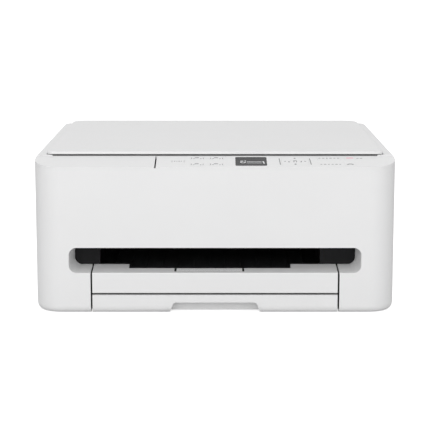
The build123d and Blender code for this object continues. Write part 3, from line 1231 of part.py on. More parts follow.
def unit_lug(side):
    """Knuckle on the tub's back that turns on a hinge pin."""
    axis_y, axis_z = y_at(UNIT_AXIS), UNIT_AXIS_HEIGHT
    x0 = side * UNIT_HINGE_X - UNIT_LUG_WIDTH / 2
    x1 = x0 + UNIT_LUG_WIDTH
    lug = x_cylinder(x0, x1, axis_y, axis_z, UNIT_LUG_RADIUS)
    return lug + block(x0, x1, y_at(TUB_REAR) - 1, axis_y, axis_z - UNIT_LUG_RADIUS,
                       axis_z + UNIT_LUG_RADIUS - 1)


def unit_bore(side):
    """Bore of a knuckle."""
    x0 = side * UNIT_HINGE_X - UNIT_LUG_WIDTH / 2 - 1
    return x_cylinder(x0, x0 + UNIT_LUG_WIDTH + 2, y_at(UNIT_AXIS), UNIT_AXIS_HEIGHT,
                      UNIT_PIN_RADIUS + SHAFT_FIT)


def unit_hinges():
    """Brackets on the rear wall with the pins that the scanner unit swings on."""
    axis_y, axis_z = y_at(UNIT_AXIS), UNIT_AXIS_HEIGHT
    brackets = []
    for side in (-1, 1):
        x = side * UNIT_HINGE_X
        reach = UNIT_LUG_WIDTH / 2 + FIT
        outer = reach + UNIT_CHEEK
        pair = x_cylinder(x - outer, x + outer, axis_y, axis_z, UNIT_PIN_RADIUS)
        for end in (-1, 1):
            x0, x1 = sorted((x + end * reach, x + end * outer))
            cheek = block(x0, x1, axis_y - UNIT_LUG_RADIUS, REAR - WALL, UNIT_BRACKET_BOTTOM, axis_z)
            cheek = cheek + x_cylinder(x0, x1, axis_y, axis_z, UNIT_LUG_RADIUS)
            pair = pair + cheek
        back = block(x - outer, x + outer, REAR - WALL - THIN_WALL, REAR - WALL, UNIT_BRACKET_BOTTOM,
                     UNIT_BRACKET_BOTTOM + UNIT_BRACKET_PLATE)
        brackets.append(pair + back)
    return Compound(children=brackets)


def strip_profile(drop):
    """Side outline of everything above the sloped strip, lowered square to it by a drop."""
    reach = 5.0
    fall = reach * (STRIP_TOP - CREASE_HEIGHT) / STRIP_DEPTH
    return [
        (FRONT - reach, CREASE_HEIGHT - fall - drop),
        (y_at(STRIP_DEPTH), STRIP_TOP - drop),
        (y_at(STRIP_DEPTH), BODY_HEIGHT + 20),
        (FRONT - reach, BODY_HEIGHT + 20),
    ]


def unit_casing():
    """Moulded top of the scanner unit: sloped strip, raised rim, deck and hinge ledge."""
    top = casing(0, SEAM_HEIGHT, RIM_HEIGHT)
    top = fillet(top.edges().group_by(Axis.Z)[-1], RIM_EDGE)
    top = top - along_x(strip_profile(0), -BODY_WIDTH, BODY_WIDTH)
    deck_half = LID_HALF_WIDTH + DECK_MARGIN
    well = block(-deck_half, deck_half, y_at(STRIP_DEPTH), REAR + 1, DECK_HEIGHT, BODY_HEIGHT)
    well = fillet(well.edges().filter_by(Axis.Z).group_by(Axis.Y)[0], LID_CORNER)
    top = top - well
    ledge = block(-deck_half, deck_half, REAR - LID_LEDGE_DEPTH, REAR + 1, LID_LEDGE_HEIGHT, BODY_HEIGHT)
    top = top - ledge
    skirt = block(-HALF_WIDTH + REAR_CORNER, HALF_WIDTH - REAR_CORNER, REAR - WALL, REAR,
                  SEAM_HEIGHT - UNIT_SKIRT_DROP, SEAM_HEIGHT + 1)
    hollow = casing(WALL, SEAM_HEIGHT - 1, DECK_HEIGHT - DECK_PLATE)
    hollow = hollow - along_x(strip_profile(PANEL_PLATE), -BODY_WIDTH, BODY_WIDTH)
    hollow = hollow - block(-BODY_WIDTH, BODY_WIDTH, REAR - LID_LEDGE_DEPTH, REAR,
                            LID_LEDGE_HEIGHT - DECK_PLATE, BODY_HEIGHT)
    return top - hollow + skirt


def glass_window(grow):
    """X and Y limits of the glass opening."""
    x, y = GLASS_CENTRE_X, y_at(GLASS_CENTRE)
    half_x, half_y = GLASS_WIDTH / 2 + grow, GLASS_DEPTH / 2 + grow
    return x - half_x, x + half_x, y - half_y, y + half_y


def panel_region(side_gap, top_gap):
    """Part of the sloped strip that is a piece of its own."""
    return block(PANEL_LEFT + side_gap, BODY_WIDTH, FRONT - FRONT_CORNER, y_at(STRIP_DEPTH) - top_gap, 0,
                 2 * BODY_HEIGHT)


def scanner_cover():
    """White frame of the scanner unit without the operating panel."""
    cover = unit_casing() - panel_region(0, 0)
    cover = cover - block(*glass_window(-GLASS_LAP), 0, 2 * BODY_HEIGHT)
    for side in (-1, 1):
        x = side * LID_HINGE_X
        half = LID_HINGE_WIDTH / 2 + THIN_WALL
        foot = block(x - half, x + half, REAR - LID_LEDGE_DEPTH + 1, REAR - WALL, SEAM_HEIGHT,
                     LID_LEDGE_HEIGHT - DECK_PLATE + OVERLAP)
        cover = cover + foot
    return cover


def control_panel():
    """Operating panel: right part of the strip, with its window and key holes."""
    panel = unit_casing() & panel_region(PANEL_SEAM, FIT / 2)
    window = strip_place(WINDOW_CENTRE_X, STRIP_MIDDLE)
    lap = 2 * WINDOW_LAP
    panel = panel - window * Box(WINDOW_WIDTH - lap, WINDOW_LENGTH - lap, 4 * PANEL_PLATE)
    seat = RectangleRounded(WINDOW_WIDTH + OVERLAP, WINDOW_LENGTH + OVERLAP, WINDOW_CORNER)
    panel = panel - window * Pos(0, 0, -WINDOW_THICKNESS) * extrude(seat, PANEL_PLATE, dir=(0, 0, 1))
    reach = 2 * PANEL_PLATE
    for offset, up, width, length in KEYS.values():
        hole = RectangleRounded(width + 2 * KEY_FIT, length + 2 * KEY_FIT, KEY_CORNER + KEY_FIT)
        place = strip_place(PANEL_LEFT + offset, up) * Pos(0, 0, -reach)
        panel = panel - place * extrude(hole, 2 * reach, dir=(0, 0, 1))
    for offset in BOARD_POSTS:
        post = Cylinder(POST_RADIUS, BOARD_DEPTH - PANEL_PLATE + POST_BITE)
        drop = (BOARD_DEPTH + PANEL_PLATE - POST_BITE) / 2
        panel = panel + strip_place(PANEL_LEFT + offset, STRIP_MIDDLE) * Pos(0, 0, -drop) * post
    return panel


def lcd_window():
    """Smoked window over the display, flush with the strip."""
    pane = extrude(RectangleRounded(WINDOW_WIDTH, WINDOW_LENGTH, WINDOW_CORNER), WINDOW_THICKNESS)
    return strip_place(WINDOW_CENTRE_X, STRIP_MIDDLE) * Pos(0, 0, -WINDOW_THICKNESS) * pane


def key(name):
    """Key cap in its hole, standing a hair proud of the strip."""
    offset, up, width, length = KEYS[name]
    cap = extrude(RectangleRounded(width, length, KEY_CORNER), KEY_THICKNESS)
    if name == "navigation_key":
        hole = RectangleRounded(OK_WIDTH + 2 * KEY_FIT, OK_LENGTH + 2 * KEY_FIT, KEY_CORNER + KEY_FIT)
        cap = cap - extrude(hole, KEY_THICKNESS, dir=(0, 0, 1))
    return strip_place(PANEL_LEFT + offset, up) * Pos(0, 0, KEY_PROUD - KEY_THICKNESS) * cap


def key_board():
    """Switch board on posts under the keys, with the display module under its window."""
    board = block(PANEL_LEFT + STOPPER_EAR, HALF_WIDTH - BOARD_END_MARGIN, STRIP_MIDDLE - BOARD_HALF,
                  STRIP_MIDDLE + BOARD_HALF, -BOARD_DEPTH - BOARD_PLATE, -BOARD_DEPTH)
    lap = WINDOW_LAP + FIT
    half_x, half_y = WINDOW_WIDTH / 2 - lap, WINDOW_LENGTH / 2 - lap
    display = block(WINDOW_CENTRE_X - half_x, WINDOW_CENTRE_X + half_x, STRIP_MIDDLE - half_y,
                    STRIP_MIDDLE + half_y, -BOARD_DEPTH - OVERLAP, -WINDOW_THICKNESS - OVERLAP)
    board = strip_place(0, 0) * (board + display)
    return board - block(-BODY_WIDTH, BODY_WIDTH, FRONT, y_at(TUB_FRONT + THIN_WALL), 0, SEAM_HEIGHT - TUB_GAP)


def platen_glass():
    """Flat glass under the deck."""
    return block(*glass_window(0), GLASS_UNDERSIDE, GLASS_UNDERSIDE + GLASS_THICKNESS)


def scan_rod():
    """Steel rod that the scanning head slides on."""
    half = TUB_HALF - ROD_INSET
    return x_cylinder(-half, half, y_at(GLASS_CENTRE), SCAN_ROD_HEIGHT, SCAN_ROD_RADIUS)


def scan_head():
    """Contact scanning bar at its home place on the left."""
    x, y = scan_home_x(), y_at(GLASS_CENTRE)
    top = GLASS_UNDERSIDE - FIT
    half, reach = SCAN_HEAD_WIDTH / 2, SCAN_HEAD_DEPTH / 2
    base = SCAN_ROD_HEIGHT + SCAN_BAR_RISE
    bar = block(x - half, x + half, y - reach, y + reach, base, top - 1)
    lens = block(x - SCAN_LENS_HALF, x + SCAN_LENS_HALF, y - reach + 6, y + reach - 6, top - 1.1, top)
    bearing = block(x - half, x + half, y - SCAN_BEARING_HALF, y + SCAN_BEARING_HALF,
                    SCAN_ROD_HEIGHT - SCAN_BEARING_DROP, base + OVERLAP)
    head = bar + lens + bearing
    return head - x_cylinder(x - half - 1, x + half + 1, y, SCAN_ROD_HEIGHT, SCAN_ROD_RADIUS + SHAFT_FIT)


def scan_home_x():
    """X of the scanning head at rest."""
    return GLASS_CENTRE_X - SCAN_TRAVEL / 2


def lid_plate(grow, bottom, top):
    """Rounded plate over the lid's footprint."""
    sketch = Rectangle(2 * (LID_HALF_WIDTH + grow), LID_REAR - LID_FRONT + 2 * grow)
    sketch = fillet(sketch.vertices(), LID_CORNER + grow)
    middle = y_at((LID_FRONT + LID_REAR) / 2)
    return Pos(0, middle, bottom) * extrude(sketch, top - bottom, dir=(0, 0, 1))


def lid_axis():
    """Y and Z of the lid's pivot."""
    return y_at(LID_REAR - LID_AXIS_SETBACK), LID_AXIS_HEIGHT


def lid_cover():
    """Thin lid moulding with a softened edge, a hollow underside and its hinge lugs."""
    lid = lid_plate(0, LID_UNDERSIDE, BODY_HEIGHT)
    lid = fillet(lid.edges().group_by(Axis.Z)[-1], LID_EDGE)
    lid = lid - lid_plate(-LID_RIM, LID_UNDERSIDE - 1, BODY_HEIGHT - LID_SKIN)
    y, z = lid_axis()
    rear = y_at(LID_REAR)
    for side in (-1, 1):
        x = side * LID_HINGE_X
        x0, x1 = x - LID_HINGE_WIDTH / 2 + LID_CHEEK + FIT, x + LID_HINGE_WIDTH / 2 - LID_CHEEK - FIT
        lug = x_cylinder(x0, x1, y, z, LID_PIN_RADIUS + 1.2)
        lug = lug + block(x0, x1, y - 2.6, y + 2.6, z, BODY_HEIGHT - 1)
        room = block(x - LID_HINGE_WIDTH / 2 - FIT, x + LID_HINGE_WIDTH / 2 + FIT, y - 5, rear + 1,
                     LID_UNDERSIDE - 1, BODY_HEIGHT - 0.9)
        lid = lid - room + lug
        lid = lid - x_cylinder(x0 - 1, x1 + 1, y, z, LID_PIN_RADIUS + SHAFT_FIT)
    return lid


def lid_hinges():
    """Hinge blocks on the deck's rear ledge with the lid's pins."""
    y, z = lid_axis()
    blocks = []
    for side in (-1, 1):
        x = side * LID_HINGE_X
        half = LID_HINGE_WIDTH / 2
        base = block(x - half, x + half, y - LID_HINGE_HALF, y + LID_HINGE_HALF, LID_LEDGE_HEIGHT,
                     LID_LEDGE_HEIGHT + LID_HINGE_BASE)
        pin = x_cylinder(x - half, x + half, y, z, LID_PIN_RADIUS)
        for end in (-1, 1):
            x0, x1 = sorted((x + end * half, x + end * (half - LID_CHEEK)))
            cheek = block(x0, x1, y - LID_HINGE_HALF / 2, y + LID_HINGE_HALF / 2, LID_LEDGE_HEIGHT, z)
            cheek = cheek + x_cylinder(x0, x1, y, z, LID_HINGE_HALF / 2)
            base = base + cheek
        blocks.append(base + pin)
    return Compound(children=blocks)


def lid_pad():
    """White pressing sheet under the lid."""
    x0, x1, y0, y1 = glass_window(-GLASS_LAP - 1)
    return block(x0, x1, y0, y1, DECK_HEIGHT + 0.4, BODY_HEIGHT - LID_SKIN)


def cover_axis():
    """Y and Z of the rear cover's pivot, in the middle of its rounded lower edge."""
    return REAR - WALL / 2, COVER_BOTTOM + COVER_GAP + WALL / 2


def cover_pins(clearance):
    """Pins at both ends of the rear cover's lower edge."""
    y, z = cover_axis()
    radius = COVER_PIN_RADIUS + clearance
    reach = COVER_GAP + COVER_PIN_LENGTH
    left = x_cylinder(COVER_LEFT - 1, COVER_LEFT + reach, y, z, radius)
    return left + x_cylinder(COVER_RIGHT - reach, COVER_RIGHT + 1, y, z, radius)


def rear_cover():
    """Jam cover in the rear wall with a finger notch, hinged along its rounded lower edge."""
    x0, x1 = COVER_LEFT + COVER_GAP, COVER_RIGHT - COVER_GAP
    y, z = cover_axis()
    plate = block(x0, x1, REAR - WALL, REAR, z, COVER_TOP - COVER_GAP)
    plate = plate + x_cylinder(x0, x1, y, z, WALL / 2)
    middle = (x0 + x1) / 2
    plate = plate - block(middle - NOTCH_HALF, middle + NOTCH_HALF, REAR - WALL / 2, REAR + 1,
                          COVER_TOP - NOTCH_DEPTH, COVER_TOP + 1)
    for rib in range(COVER_RIBS):
        x = x0 + COVER_RIB_INSET + rib * (x1 - x0 - 2 * COVER_RIB_INSET) / (COVER_RIBS - 1)
        plate = plate + block(x - RIB_PLATE / 2, x + RIB_PLATE / 2, REAR - WALL - 3, REAR - WALL + OVERLAP,
                              COVER_BOTTOM + 10, COVER_TOP - 8)
    return plate - cover_pins(SHAFT_FIT)


PARTS = {}


def add(name, shape):
    PARTS[name] = shape


def main():
    os.makedirs("parts", exist_ok=True)
    for name, shape in PARTS.items():
        shape.label = name
        export_step(shape, f"parts/{name}.step")
        print(name)


add("lower_shell", lower_shell())
add("base_pan", base_pan())
add("bay_walls", bay_walls())
add("rubber_feet", rubber_feet())
add("slot_lining", slot_lining())
add("output_tray", output_tray())
add("paper_stopper", paper_stopper())
add("output_tray_floor", output_tray_floor())
add("cassette_front", cassette_front())
add("cassette_tray", cassette_tray())
add("paper_guide_left", paper_guide(-1))
add("paper_guide_right", paper_guide(1))
add("guide_pinion", guide_pinion())
add("rear_guide", rear_guide())
add("chassis_frame", chassis_frame())
add("carriage_rail", carriage_rail())
add("feed_roller", feed_roller())
add("exit_roller", exit_roller())
add("idler_gear", idler_gear())
add("motor_pinion", motor_pinion())
add("feed_motor", feed_motor())
add("platen", platen())
add("carriage", carriage())
add("cartridge_colour", cartridge(0))
add("cartridge_black", cartridge(1))
add("cartridge_latch_colour", cartridge_latch(0))
add("cartridge_latch_black", cartridge_latch(1))
add("carriage_belt", carriage_belt())
add("belt_drive_pulley", belt_pulley(-1))
add("belt_tension_pulley", belt_pulley(1))
add("carriage_motor", carriage_motor())
add("cap_unit", cap_unit())
add("power_supply", power_supply())
add("main_board", main_board())
add("turn_guide", turn_guide())
add("pickup_arm", pickup_arm())
add("pickup_roller", pickup_roller())
add("scanner_tub", scanner_tub())
add("unit_hinges", unit_hinges())
add("scanner_cover", scanner_cover())
add("control_panel", control_panel())
add("lcd_window", lcd_window())
for key_name in KEYS:
    add(key_name, key(key_name))
add("key_board", key_board())
add("platen_glass", platen_glass())
add("scan_rod", scan_rod())
add("scan_head", scan_head())
add("lid_cover", lid_cover())
add("lid_hinges", lid_hinges())
add("lid_pad", lid_pad())
add("rear_cover", rear_cover())
main()
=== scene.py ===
import json
import math

import bmesh
import bpy
from mathutils import Matrix, Vector


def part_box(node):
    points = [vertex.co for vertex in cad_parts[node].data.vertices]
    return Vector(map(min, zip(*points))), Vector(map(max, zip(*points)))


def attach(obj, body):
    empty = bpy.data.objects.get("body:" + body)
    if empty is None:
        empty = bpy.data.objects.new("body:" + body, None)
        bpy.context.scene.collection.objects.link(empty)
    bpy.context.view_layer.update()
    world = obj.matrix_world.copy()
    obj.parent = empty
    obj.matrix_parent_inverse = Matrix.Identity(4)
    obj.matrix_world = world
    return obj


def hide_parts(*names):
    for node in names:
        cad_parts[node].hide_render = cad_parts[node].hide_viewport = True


bl_info = {
    "name": "Multifunction printer dressing",
    "version": (1, 0, 0),
    "blender": (4, 5, 0),
    "location": "View3D > Sidebar > Printer",
    "description": "Finishes, key marks, drive parts and studio for a desktop multifunction printer",
    "category": "Object",
}

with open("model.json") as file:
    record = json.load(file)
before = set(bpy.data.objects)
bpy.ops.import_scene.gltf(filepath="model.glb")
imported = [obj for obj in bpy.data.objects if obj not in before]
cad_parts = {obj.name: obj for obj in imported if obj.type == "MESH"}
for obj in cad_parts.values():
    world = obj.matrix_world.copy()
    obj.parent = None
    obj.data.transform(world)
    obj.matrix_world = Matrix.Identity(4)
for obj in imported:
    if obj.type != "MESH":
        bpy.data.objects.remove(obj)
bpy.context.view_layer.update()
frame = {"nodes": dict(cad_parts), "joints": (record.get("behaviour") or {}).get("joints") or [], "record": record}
NODES = frame["nodes"]
NODE_BODY = {node: body for body, nodes in frame["record"]["behaviour"]["bodies"].items() for node in nodes}
NODE_SLOT = {row["node"]: row["material_slot"] for row in frame["record"]["subparts"]}
JOINTS = {joint["name"]: joint for joint in frame["joints"]}
MM = 0.001
FINISH = "finish_"

# Sockets of node groups
COLOUR, NUMBER, GEOMETRY = "NodeSocketColor", "NodeSocketFloat", "NodeSocketGeometry"
OBJECT, MATERIAL = "NodeSocketObject", "NodeSocketMaterial"
SURFACE_IN = {"Colour": COLOUR, "Shade": COLOUR, "Scale": NUMBER, "Gloss low": NUMBER, "Gloss high": NUMBER}
SURFACE_OUT = {"Colour": COLOUR, "Roughness": NUMBER, "Height": NUMBER}

# Patterns: noise scales per metre, and shares
PIT_SCALE, GRAIN_SCALE, DRIFT_SCALE, STAIN_SCALE, WAVE_SCALE = 620.0, 1700.0, 14.0, 60.0, 9.0
LINE_STRETCH = (20.0, 900.0, 900.0)
CELL_SCALE, TRACK_PITCH, TRACK_EDGE = 130.0, 0.14, 0.08
GLOSS_DRIFT = 0.05

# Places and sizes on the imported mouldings
PACKED_LID_CORNER = 16.0 * MM
LID_STRAIGHT = 5.0 * MM
WELL_SIDE_GAP = 0.8 * MM
WELL_FRONT_GAP = 1.5 * MM
WELL_DEPTH = 6.0 * MM
PIN_LENGTH = 3.2 * MM
FLAP_GAP = 1.2 * MM
FLAP_NOSE = 1.3 * MM
FLAP_SEAT_GAP = 0.3 * MM
PACKED_BOTTOM_EDGE = 4.0 * MM
FRONT_CORNER = 27.0 * MM
REAR_CORNER = 16.0 * MM
DRAWER_GAP = 1.1 * MM

# Limits for joining, flattening, rounding and moving points
MERGE = 0.001 * MM
MARK_MERGE = 0.0001 * MM
FLAT_ANGLE = math.radians(0.6)
SHARP_ANGLE = math.radians(35)
EDGE_SHARE = 2.2
ON_FACE = 0.01 * MM
SKIN = 0.4 * MM
GUARD = 0.6 * MM

# Black plates in the gaps at the stopper's ends and along its nose: painted shade
END_SHADE_GAP = 0.15 * MM
END_SHADE_BACK = 0.2 * MM
END_SHADE_SIDE_GAP = 0.05 * MM
NOSE_SHADE_GAP = 0.12 * MM
NOSE_SHADE_END_GAP = 0.1 * MM
NOSE_SHADE_FOOT, NOSE_SHADE_TOP = 0.56 * MM, 1.09 * MM

# How far the feet of the panel's marks lie below the top of the navigation key
MARK_DROP = 0.04 * MM

# Cartridges' labels
LABEL_HALF_X, LABEL_HALF_Y, LABEL_CUT = 9.0 * MM, 12.5 * MM, 1.5 * MM
LABEL_BACK = 23.0 * MM
PAPER_HEIGHT, LINE_HEIGHT, STRIPE_HEIGHT = 0.1 * MM, 0.13 * MM, 0.15 * MM
STRIPE_PITCH, STRIPE_LENGTH, STRIPE_STROKES = 4.6 * MM, 15.0 * MM, 7.0
LABEL_INKS = {"cartridge_black": ("label_grey",),
              "cartridge_colour": ("label_cyan", "label_magenta", "label_yellow")}

# Belt, screws and pressing sheet
BELT_THICKNESS = 0.8 * MM
TOOTH_SHARE, TOOTH_RISE = 0.5, 0.6
HALF_TURN_STEPS = 24
HEAD_RINGS = ((1.0, 0.0), (1.0, 0.25), (0.93, 0.45), (0.74, 0.62), (0.42, 0.68))
HEAD_STEPS = 24
CROSS_TIP, CROSS_WAIST, CROSS_FLOOR = 0.36, 0.12, 0.3
SCREW_SHARE = 0.8
BASE_INSET_X, BASE_INSET_Y = 24 * MM, 60 * MM
RAIL_SCREWS = 5
RAIL_SCREW_RISE = 7 * MM
PAD_CORNER, PAD_RIM = 5 * MM, 0.9 * MM

# Studio
FLOOR_HALF = 30.0
FLOOR_GREY = 0.68
GLOW_START, GLOW_FULL = 22 * MM, 16 * MM
LAMP_TARGET = (0, 0, 0.1)
LAMPS = {"key_lamp": ((-0.45, -1.7, 0.75), 1.2, 7.3), "fill_lamp": ((0.7, -1.6, 0.6), 1.0, 3.45)}

# CAD nodes that are treated alike
CASING_NODES = ("lower_shell", "scanner_cover", "control_panel", "lid_cover", "rear_cover")
FRONT_NODES = ("output_tray", "paper_stopper", "cassette_front")
OWN_FINISH = {"output_tray_floor": "black_floor", "paper_stopper": "white_flap"}
KEY_NODES = ("power_key", "function_key_1", "function_key_2", "function_key_3", "function_key_4",
             "navigation_key", "ok_key", "start_black_key", "start_colour_key", "stop_key")

# Faces that stand back from a seam: axis, side and share of the seam's trim
X, Z = 0, 2
SEAMS = {"output_tray": ((X, -1, 1.0), (X, 1, 1.0), (Z, -1, 0.7)),
         "cassette_front": ((X, -1, 1.0), (X, 1, 1.0), (Z, 1, 2.0)), "control_panel": ((X, -1, 2.3),)}
SHELL_SEAM_SHARE = 1.5


# Sizes and colours that a user would change


def length(name, description, default, **limits):
    """Length that a user can change."""
    limits = {"min": 0.0, **limits}
    return bpy.props.FloatProperty(
        name=name, description=description, default=default, unit="LENGTH", precision=5, **limits)


def tone(name, description, default):
    """Colour that a user can change."""
    return bpy.props.FloatVectorProperty(
        name=name, description=description, default=default, subtype="COLOR", size=3, min=0.0, max=1.0)


class PrinterSizes(bpy.types.PropertyGroup):
    """Sizes of the fine detail."""
    casing_edge: length("Casing edge", "Radius on the sharp edges of the white mouldings", 0.35 * MM)
    front_edge: length("Tray edge", "Radius on the edges of the tray and cassette fronts", 0.3 * MM)
    part_edge: length("Part edge", "Radius on the edges of the inner mouldings", 0.2 * MM)
    ink_height: length("Mark height", "Height of the printed marks above their surface", 0.03 * MM)
    stroke: length("Stroke", "Width of the printed strokes", 0.5 * MM)
    belt_pitch: length("Belt pitch", "Distance between the teeth of the carriage belt", 2 * MM, min=0.5 * MM)
    screw_radius: length("Screw head radius", "Radius of the pan head screws", 2.8 * MM, min=0.5 * MM)
    lid_trim: length("Lid trim", "How far the lid's sides lie inside the packed lid's", 3.8 * MM)
    lid_corner: length("Lid corner", "Radius of the lid's front corners", 6.5 * MM)
    seam_trim: length("Seam trim", "How far the tray, drawer and panel stand back from their seams", 0.3 * MM)
    ear_trim: length("Ear trim", "How far the ears beside the stopper stand back from it", 1.0 * MM)
    bottom_edge: length("Bottom edge", "Radius of the casing's lower edge", 6.5 * MM,
                        min=PACKED_BOTTOM_EDGE, max=11.0 * MM)
    bottom_drop: length("Bottom drop", "How far the lower edge reaches below the packed one", 0.9 * MM,
                        max=0.9 * MM)


class PrinterColours(bpy.types.PropertyGroup):
    """Base colours of the finishes."""
    casing: tone("Casing", "White of the outer mouldings", (0.78, 0.78, 0.782))
    lining: tone("Lining", "Black of the slot's lining", (0.012, 0.012, 0.013))
    tray: tone("Paper drawer", "Dark grey of the drawer and its guides", (0.06, 0.062, 0.066))
    mark: tone("Marks", "Grey of the printed marks", (0.25, 0.25, 0.26))
    window: tone("Window", "Smoked window over the display", (0.03, 0.03, 0.032))


class PrinterStudio(bpy.types.PropertyGroup):
    """Light and camera."""
    tent: bpy.props.FloatProperty(
        name="Tent light", description="Strength of the light tent", default=0.98, min=0.0)
    tent_sides: bpy.props.FloatProperty(
        name="Tent sides", description="How far the tent darkens to the left and right",
        default=0.61, min=0.0, max=1.0, subtype="FACTOR")
    tent_lean: bpy.props.FloatProperty(
        name="Tent lean", description="How much brighter the tent is on the left than on the right",
        default=0.06, min=0.0, max=0.5)
    floor_glow: bpy.props.FloatProperty(
        name="Floor glow", description="Light that the floor shows to the camera", default=0.7, min=0.0)
    lens: bpy.props.FloatProperty(
        name="Lens", description="Focal length on a 36 mm sensor, in millimetres", default=121.2, min=1.0)
    camera_back: length("Camera distance", "Camera's distance from the printer's middle", 1.6456, min=0.1)
    camera_height: length("Camera height", "Camera's height above the floor", 0.3622)
    camera_pitch: bpy.props.FloatProperty(
        name="Camera pitch", description="Camera's downward tilt", default=math.radians(9.945),
        unit="ROTATION")


# Helpers


def mesh_object(name, mesh):
    """New object that holds a mesh at the origin."""
    obj = bpy.data.objects.new(name, mesh)
    bpy.context.scene.collection.objects.link(obj)
    return obj


def from_bmesh(bm, name):
    """Plain mesh from a bmesh, its faces outwards."""
    bmesh.ops.recalc_face_normals(bm, faces=bm.faces)
    mesh = bpy.data.meshes.new(name)
    bm.to_mesh(mesh)
    bm.free()
    return mesh


def fit_piece(obj, body, material):
    """Gives a finished piece its material and its CAD body."""
    obj.data.materials.clear()
    obj.data.materials.append(material)
    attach(obj, body)
    return obj


def smooth(mesh, degrees=32.0):
    """Smooth shading with sharp edges kept above an angle."""
    mesh.shade_smooth()
    mesh.set_sharp_from_angle(angle=math.radians(degrees))


def evaluated_mesh(obj):
    """Plain mesh of an object as its modifiers make it."""
    bpy.context.view_layer.update()
    evaluated = obj.evaluated_get(bpy.context.evaluated_depsgraph_get())
    return bpy.data.meshes.new_from_object(evaluated)


def weigh_normals(obj):
    """Normals that follow the largest faces, so that flat faces stay flat beside soft edges."""
    weighted = obj.modifiers.new("weighted", "WEIGHTED_NORMAL")
    weighted.keep_sharp = True
    weighted.weight = 100
    cut = obj.modifiers.new("cut", "TRIANGULATE")
    cut.min_vertices = 5
    cut.keep_custom_normals = True
    mesh = evaluated_mesh(obj)
    obj.modifiers.clear()
    name = obj.data.name
    obj.data.name = name + "_plain"
    obj.data = mesh
    mesh.name = name


def finish_of(slot):
    """Finish made here for a slot of the record, or for a mark."""
    return bpy.data.materials[FINISH + slot]


# Nodes


def fill(tree, node, inputs):
    """Links each input of a node to a socket, or sets it to a value."""
    for label, value in inputs.items():
        if isinstance(value, bpy.types.NodeSocket):
            tree.links.new(value, node.inputs[label])
        else:
            node.inputs[label].default_value = value


def add(tree, kind, inputs=None, **settings):
    """New node with its settings and inputs."""
    node = tree.nodes.new(kind)
    for label, value in settings.items():
        setattr(node, label, value)
    fill(tree, node, inputs or {})
    return node


def maths(tree, operation, first, second):
    """Result of one operation on two numbers or sockets."""
    return add(tree, "ShaderNodeMath", {0: first, 1: second}, operation=operation).outputs[0]


def new_group(name, inputs, outputs, kind="ShaderNodeTree"):
    """Empty node group with its sockets."""
    group = bpy.data.node_groups.new(name, kind)
    for way, sockets in (("INPUT", inputs), ("OUTPUT", outputs)):
        for label, socket in sockets.items():
            group.interface.new_socket(name=label, in_out=way, socket_type=socket)
    return group, group.nodes.new("NodeGroupInput"), group.nodes.new("NodeGroupOutput")


def mapped(group, start, stretch=(1.0, 1.0, 1.0)):
    """Object coordinates times the group's scale, stretched along an axis."""
    coords = add(group, "ShaderNodeTexCoord").outputs["Object"]
    scaled = add(group, "ShaderNodeVectorMath", {0: coords, "Scale": start.outputs["Scale"]},
                 operation="SCALE")
    return add(group, "ShaderNodeMapping", {"Scale": stretch, "Vector": scaled.outputs[0]}).outputs[0]


def noise(group, vector, scale, detail=2.0, rough=0.5):
    """Noise texture over a vector."""
    return add(group, "ShaderNodeTexNoise", {
        "Vector": vector, "Scale": scale, "Detail": detail, "Roughness": rough}).outputs["Fac"]


def blend_colours(group, factor, first, second):
    """Mix of two colour sockets by a factor."""
    return add(group, "ShaderNodeMix", {0: factor, 6: first, 7: second}, data_type="RGBA").outputs[2]


def spread(group, value, low, high):
    """Middle of a noise's range spread between two numbers or sockets."""
    return add(group, "ShaderNodeMapRange", {
        "Value": value, "From Min": 0.3, "From Max": 0.7, "To Min": low, "To Max": high}).outputs[0]


def surface_outputs(group, start, end, shade, gloss, height):
    """Blends the two colours by one pattern, spreads the gloss by another and passes the height on."""
    shade = spread(group, shade, 0.0, 1.0)
    fill(group, end, {
        "Colour": blend_colours(group, shade, start.outputs["Colour"], start.outputs["Shade"]),
        "Roughness": spread(group, gloss, start.outputs["Gloss low"], start.outputs["Gloss high"]),
        "Height": height})


def mould_grain_group():
    """Spark-eroded grain of a moulding: fine pits, and a slow drift of shade and gloss."""
    group, start, end = new_group("mould_grain", SURFACE_IN, SURFACE_OUT)
    vector = mapped(group, start)
    pits = noise(group, vector, PIT_SCALE, 1.0)
    grain = maths(group, "ADD", noise(group, vector, GRAIN_SCALE, 2.0, 0.6), pits)
    surface_outputs(group, start, end, noise(group, vector, DRIFT_SCALE, 3.0), pits, grain)


def drawn_metal_group():
    """Rolling lines of sheet metal or grinding lines of a shaft, along an axis."""
    group, start, end = new_group("drawn_metal", SURFACE_IN, SURFACE_OUT)
    lines = noise(group, mapped(group, start, LINE_STRETCH), 1.0, 3.0, 0.7)
    surface_outputs(group, start, end, noise(group, mapped(group, start), STAIN_SCALE), lines, lines)


def board_tracks_group():
    """Copper tracks under the lacquer of a circuit board."""
    group, start, end = new_group("board_tracks", {"Lacquer": COLOUR, "Track": COLOUR, "Scale": NUMBER},
                                  {"Colour": COLOUR, "Height": NUMBER})
    cells = add(group, "ShaderNodeTexVoronoi", {"Scale": CELL_SCALE, "Vector": mapped(group, start)},
                distance="MANHATTAN", feature="F2")
    wave = maths(group, "PINGPONG", cells.outputs["Distance"], TRACK_PITCH)
    track = maths(group, "GREATER_THAN", wave, TRACK_EDGE)
    colour = blend_colours(group, track, start.outputs["Lacquer"], start.outputs["Track"])
    fill(group, end, {"Colour": colour, "Height": track})


# Materials


def new_material(name):
    """Finish with its Principled shader."""
    material = bpy.data.materials.new(FINISH + name)
    material.use_nodes = True
    return material, material.node_tree, material.node_tree.nodes["Principled BSDF"]


def place_group(tree, group_name, values):
    """Puts a node group in a material and sets its inputs."""
    return add(tree, "ShaderNodeGroup", values, node_tree=bpy.data.node_groups[group_name]).outputs


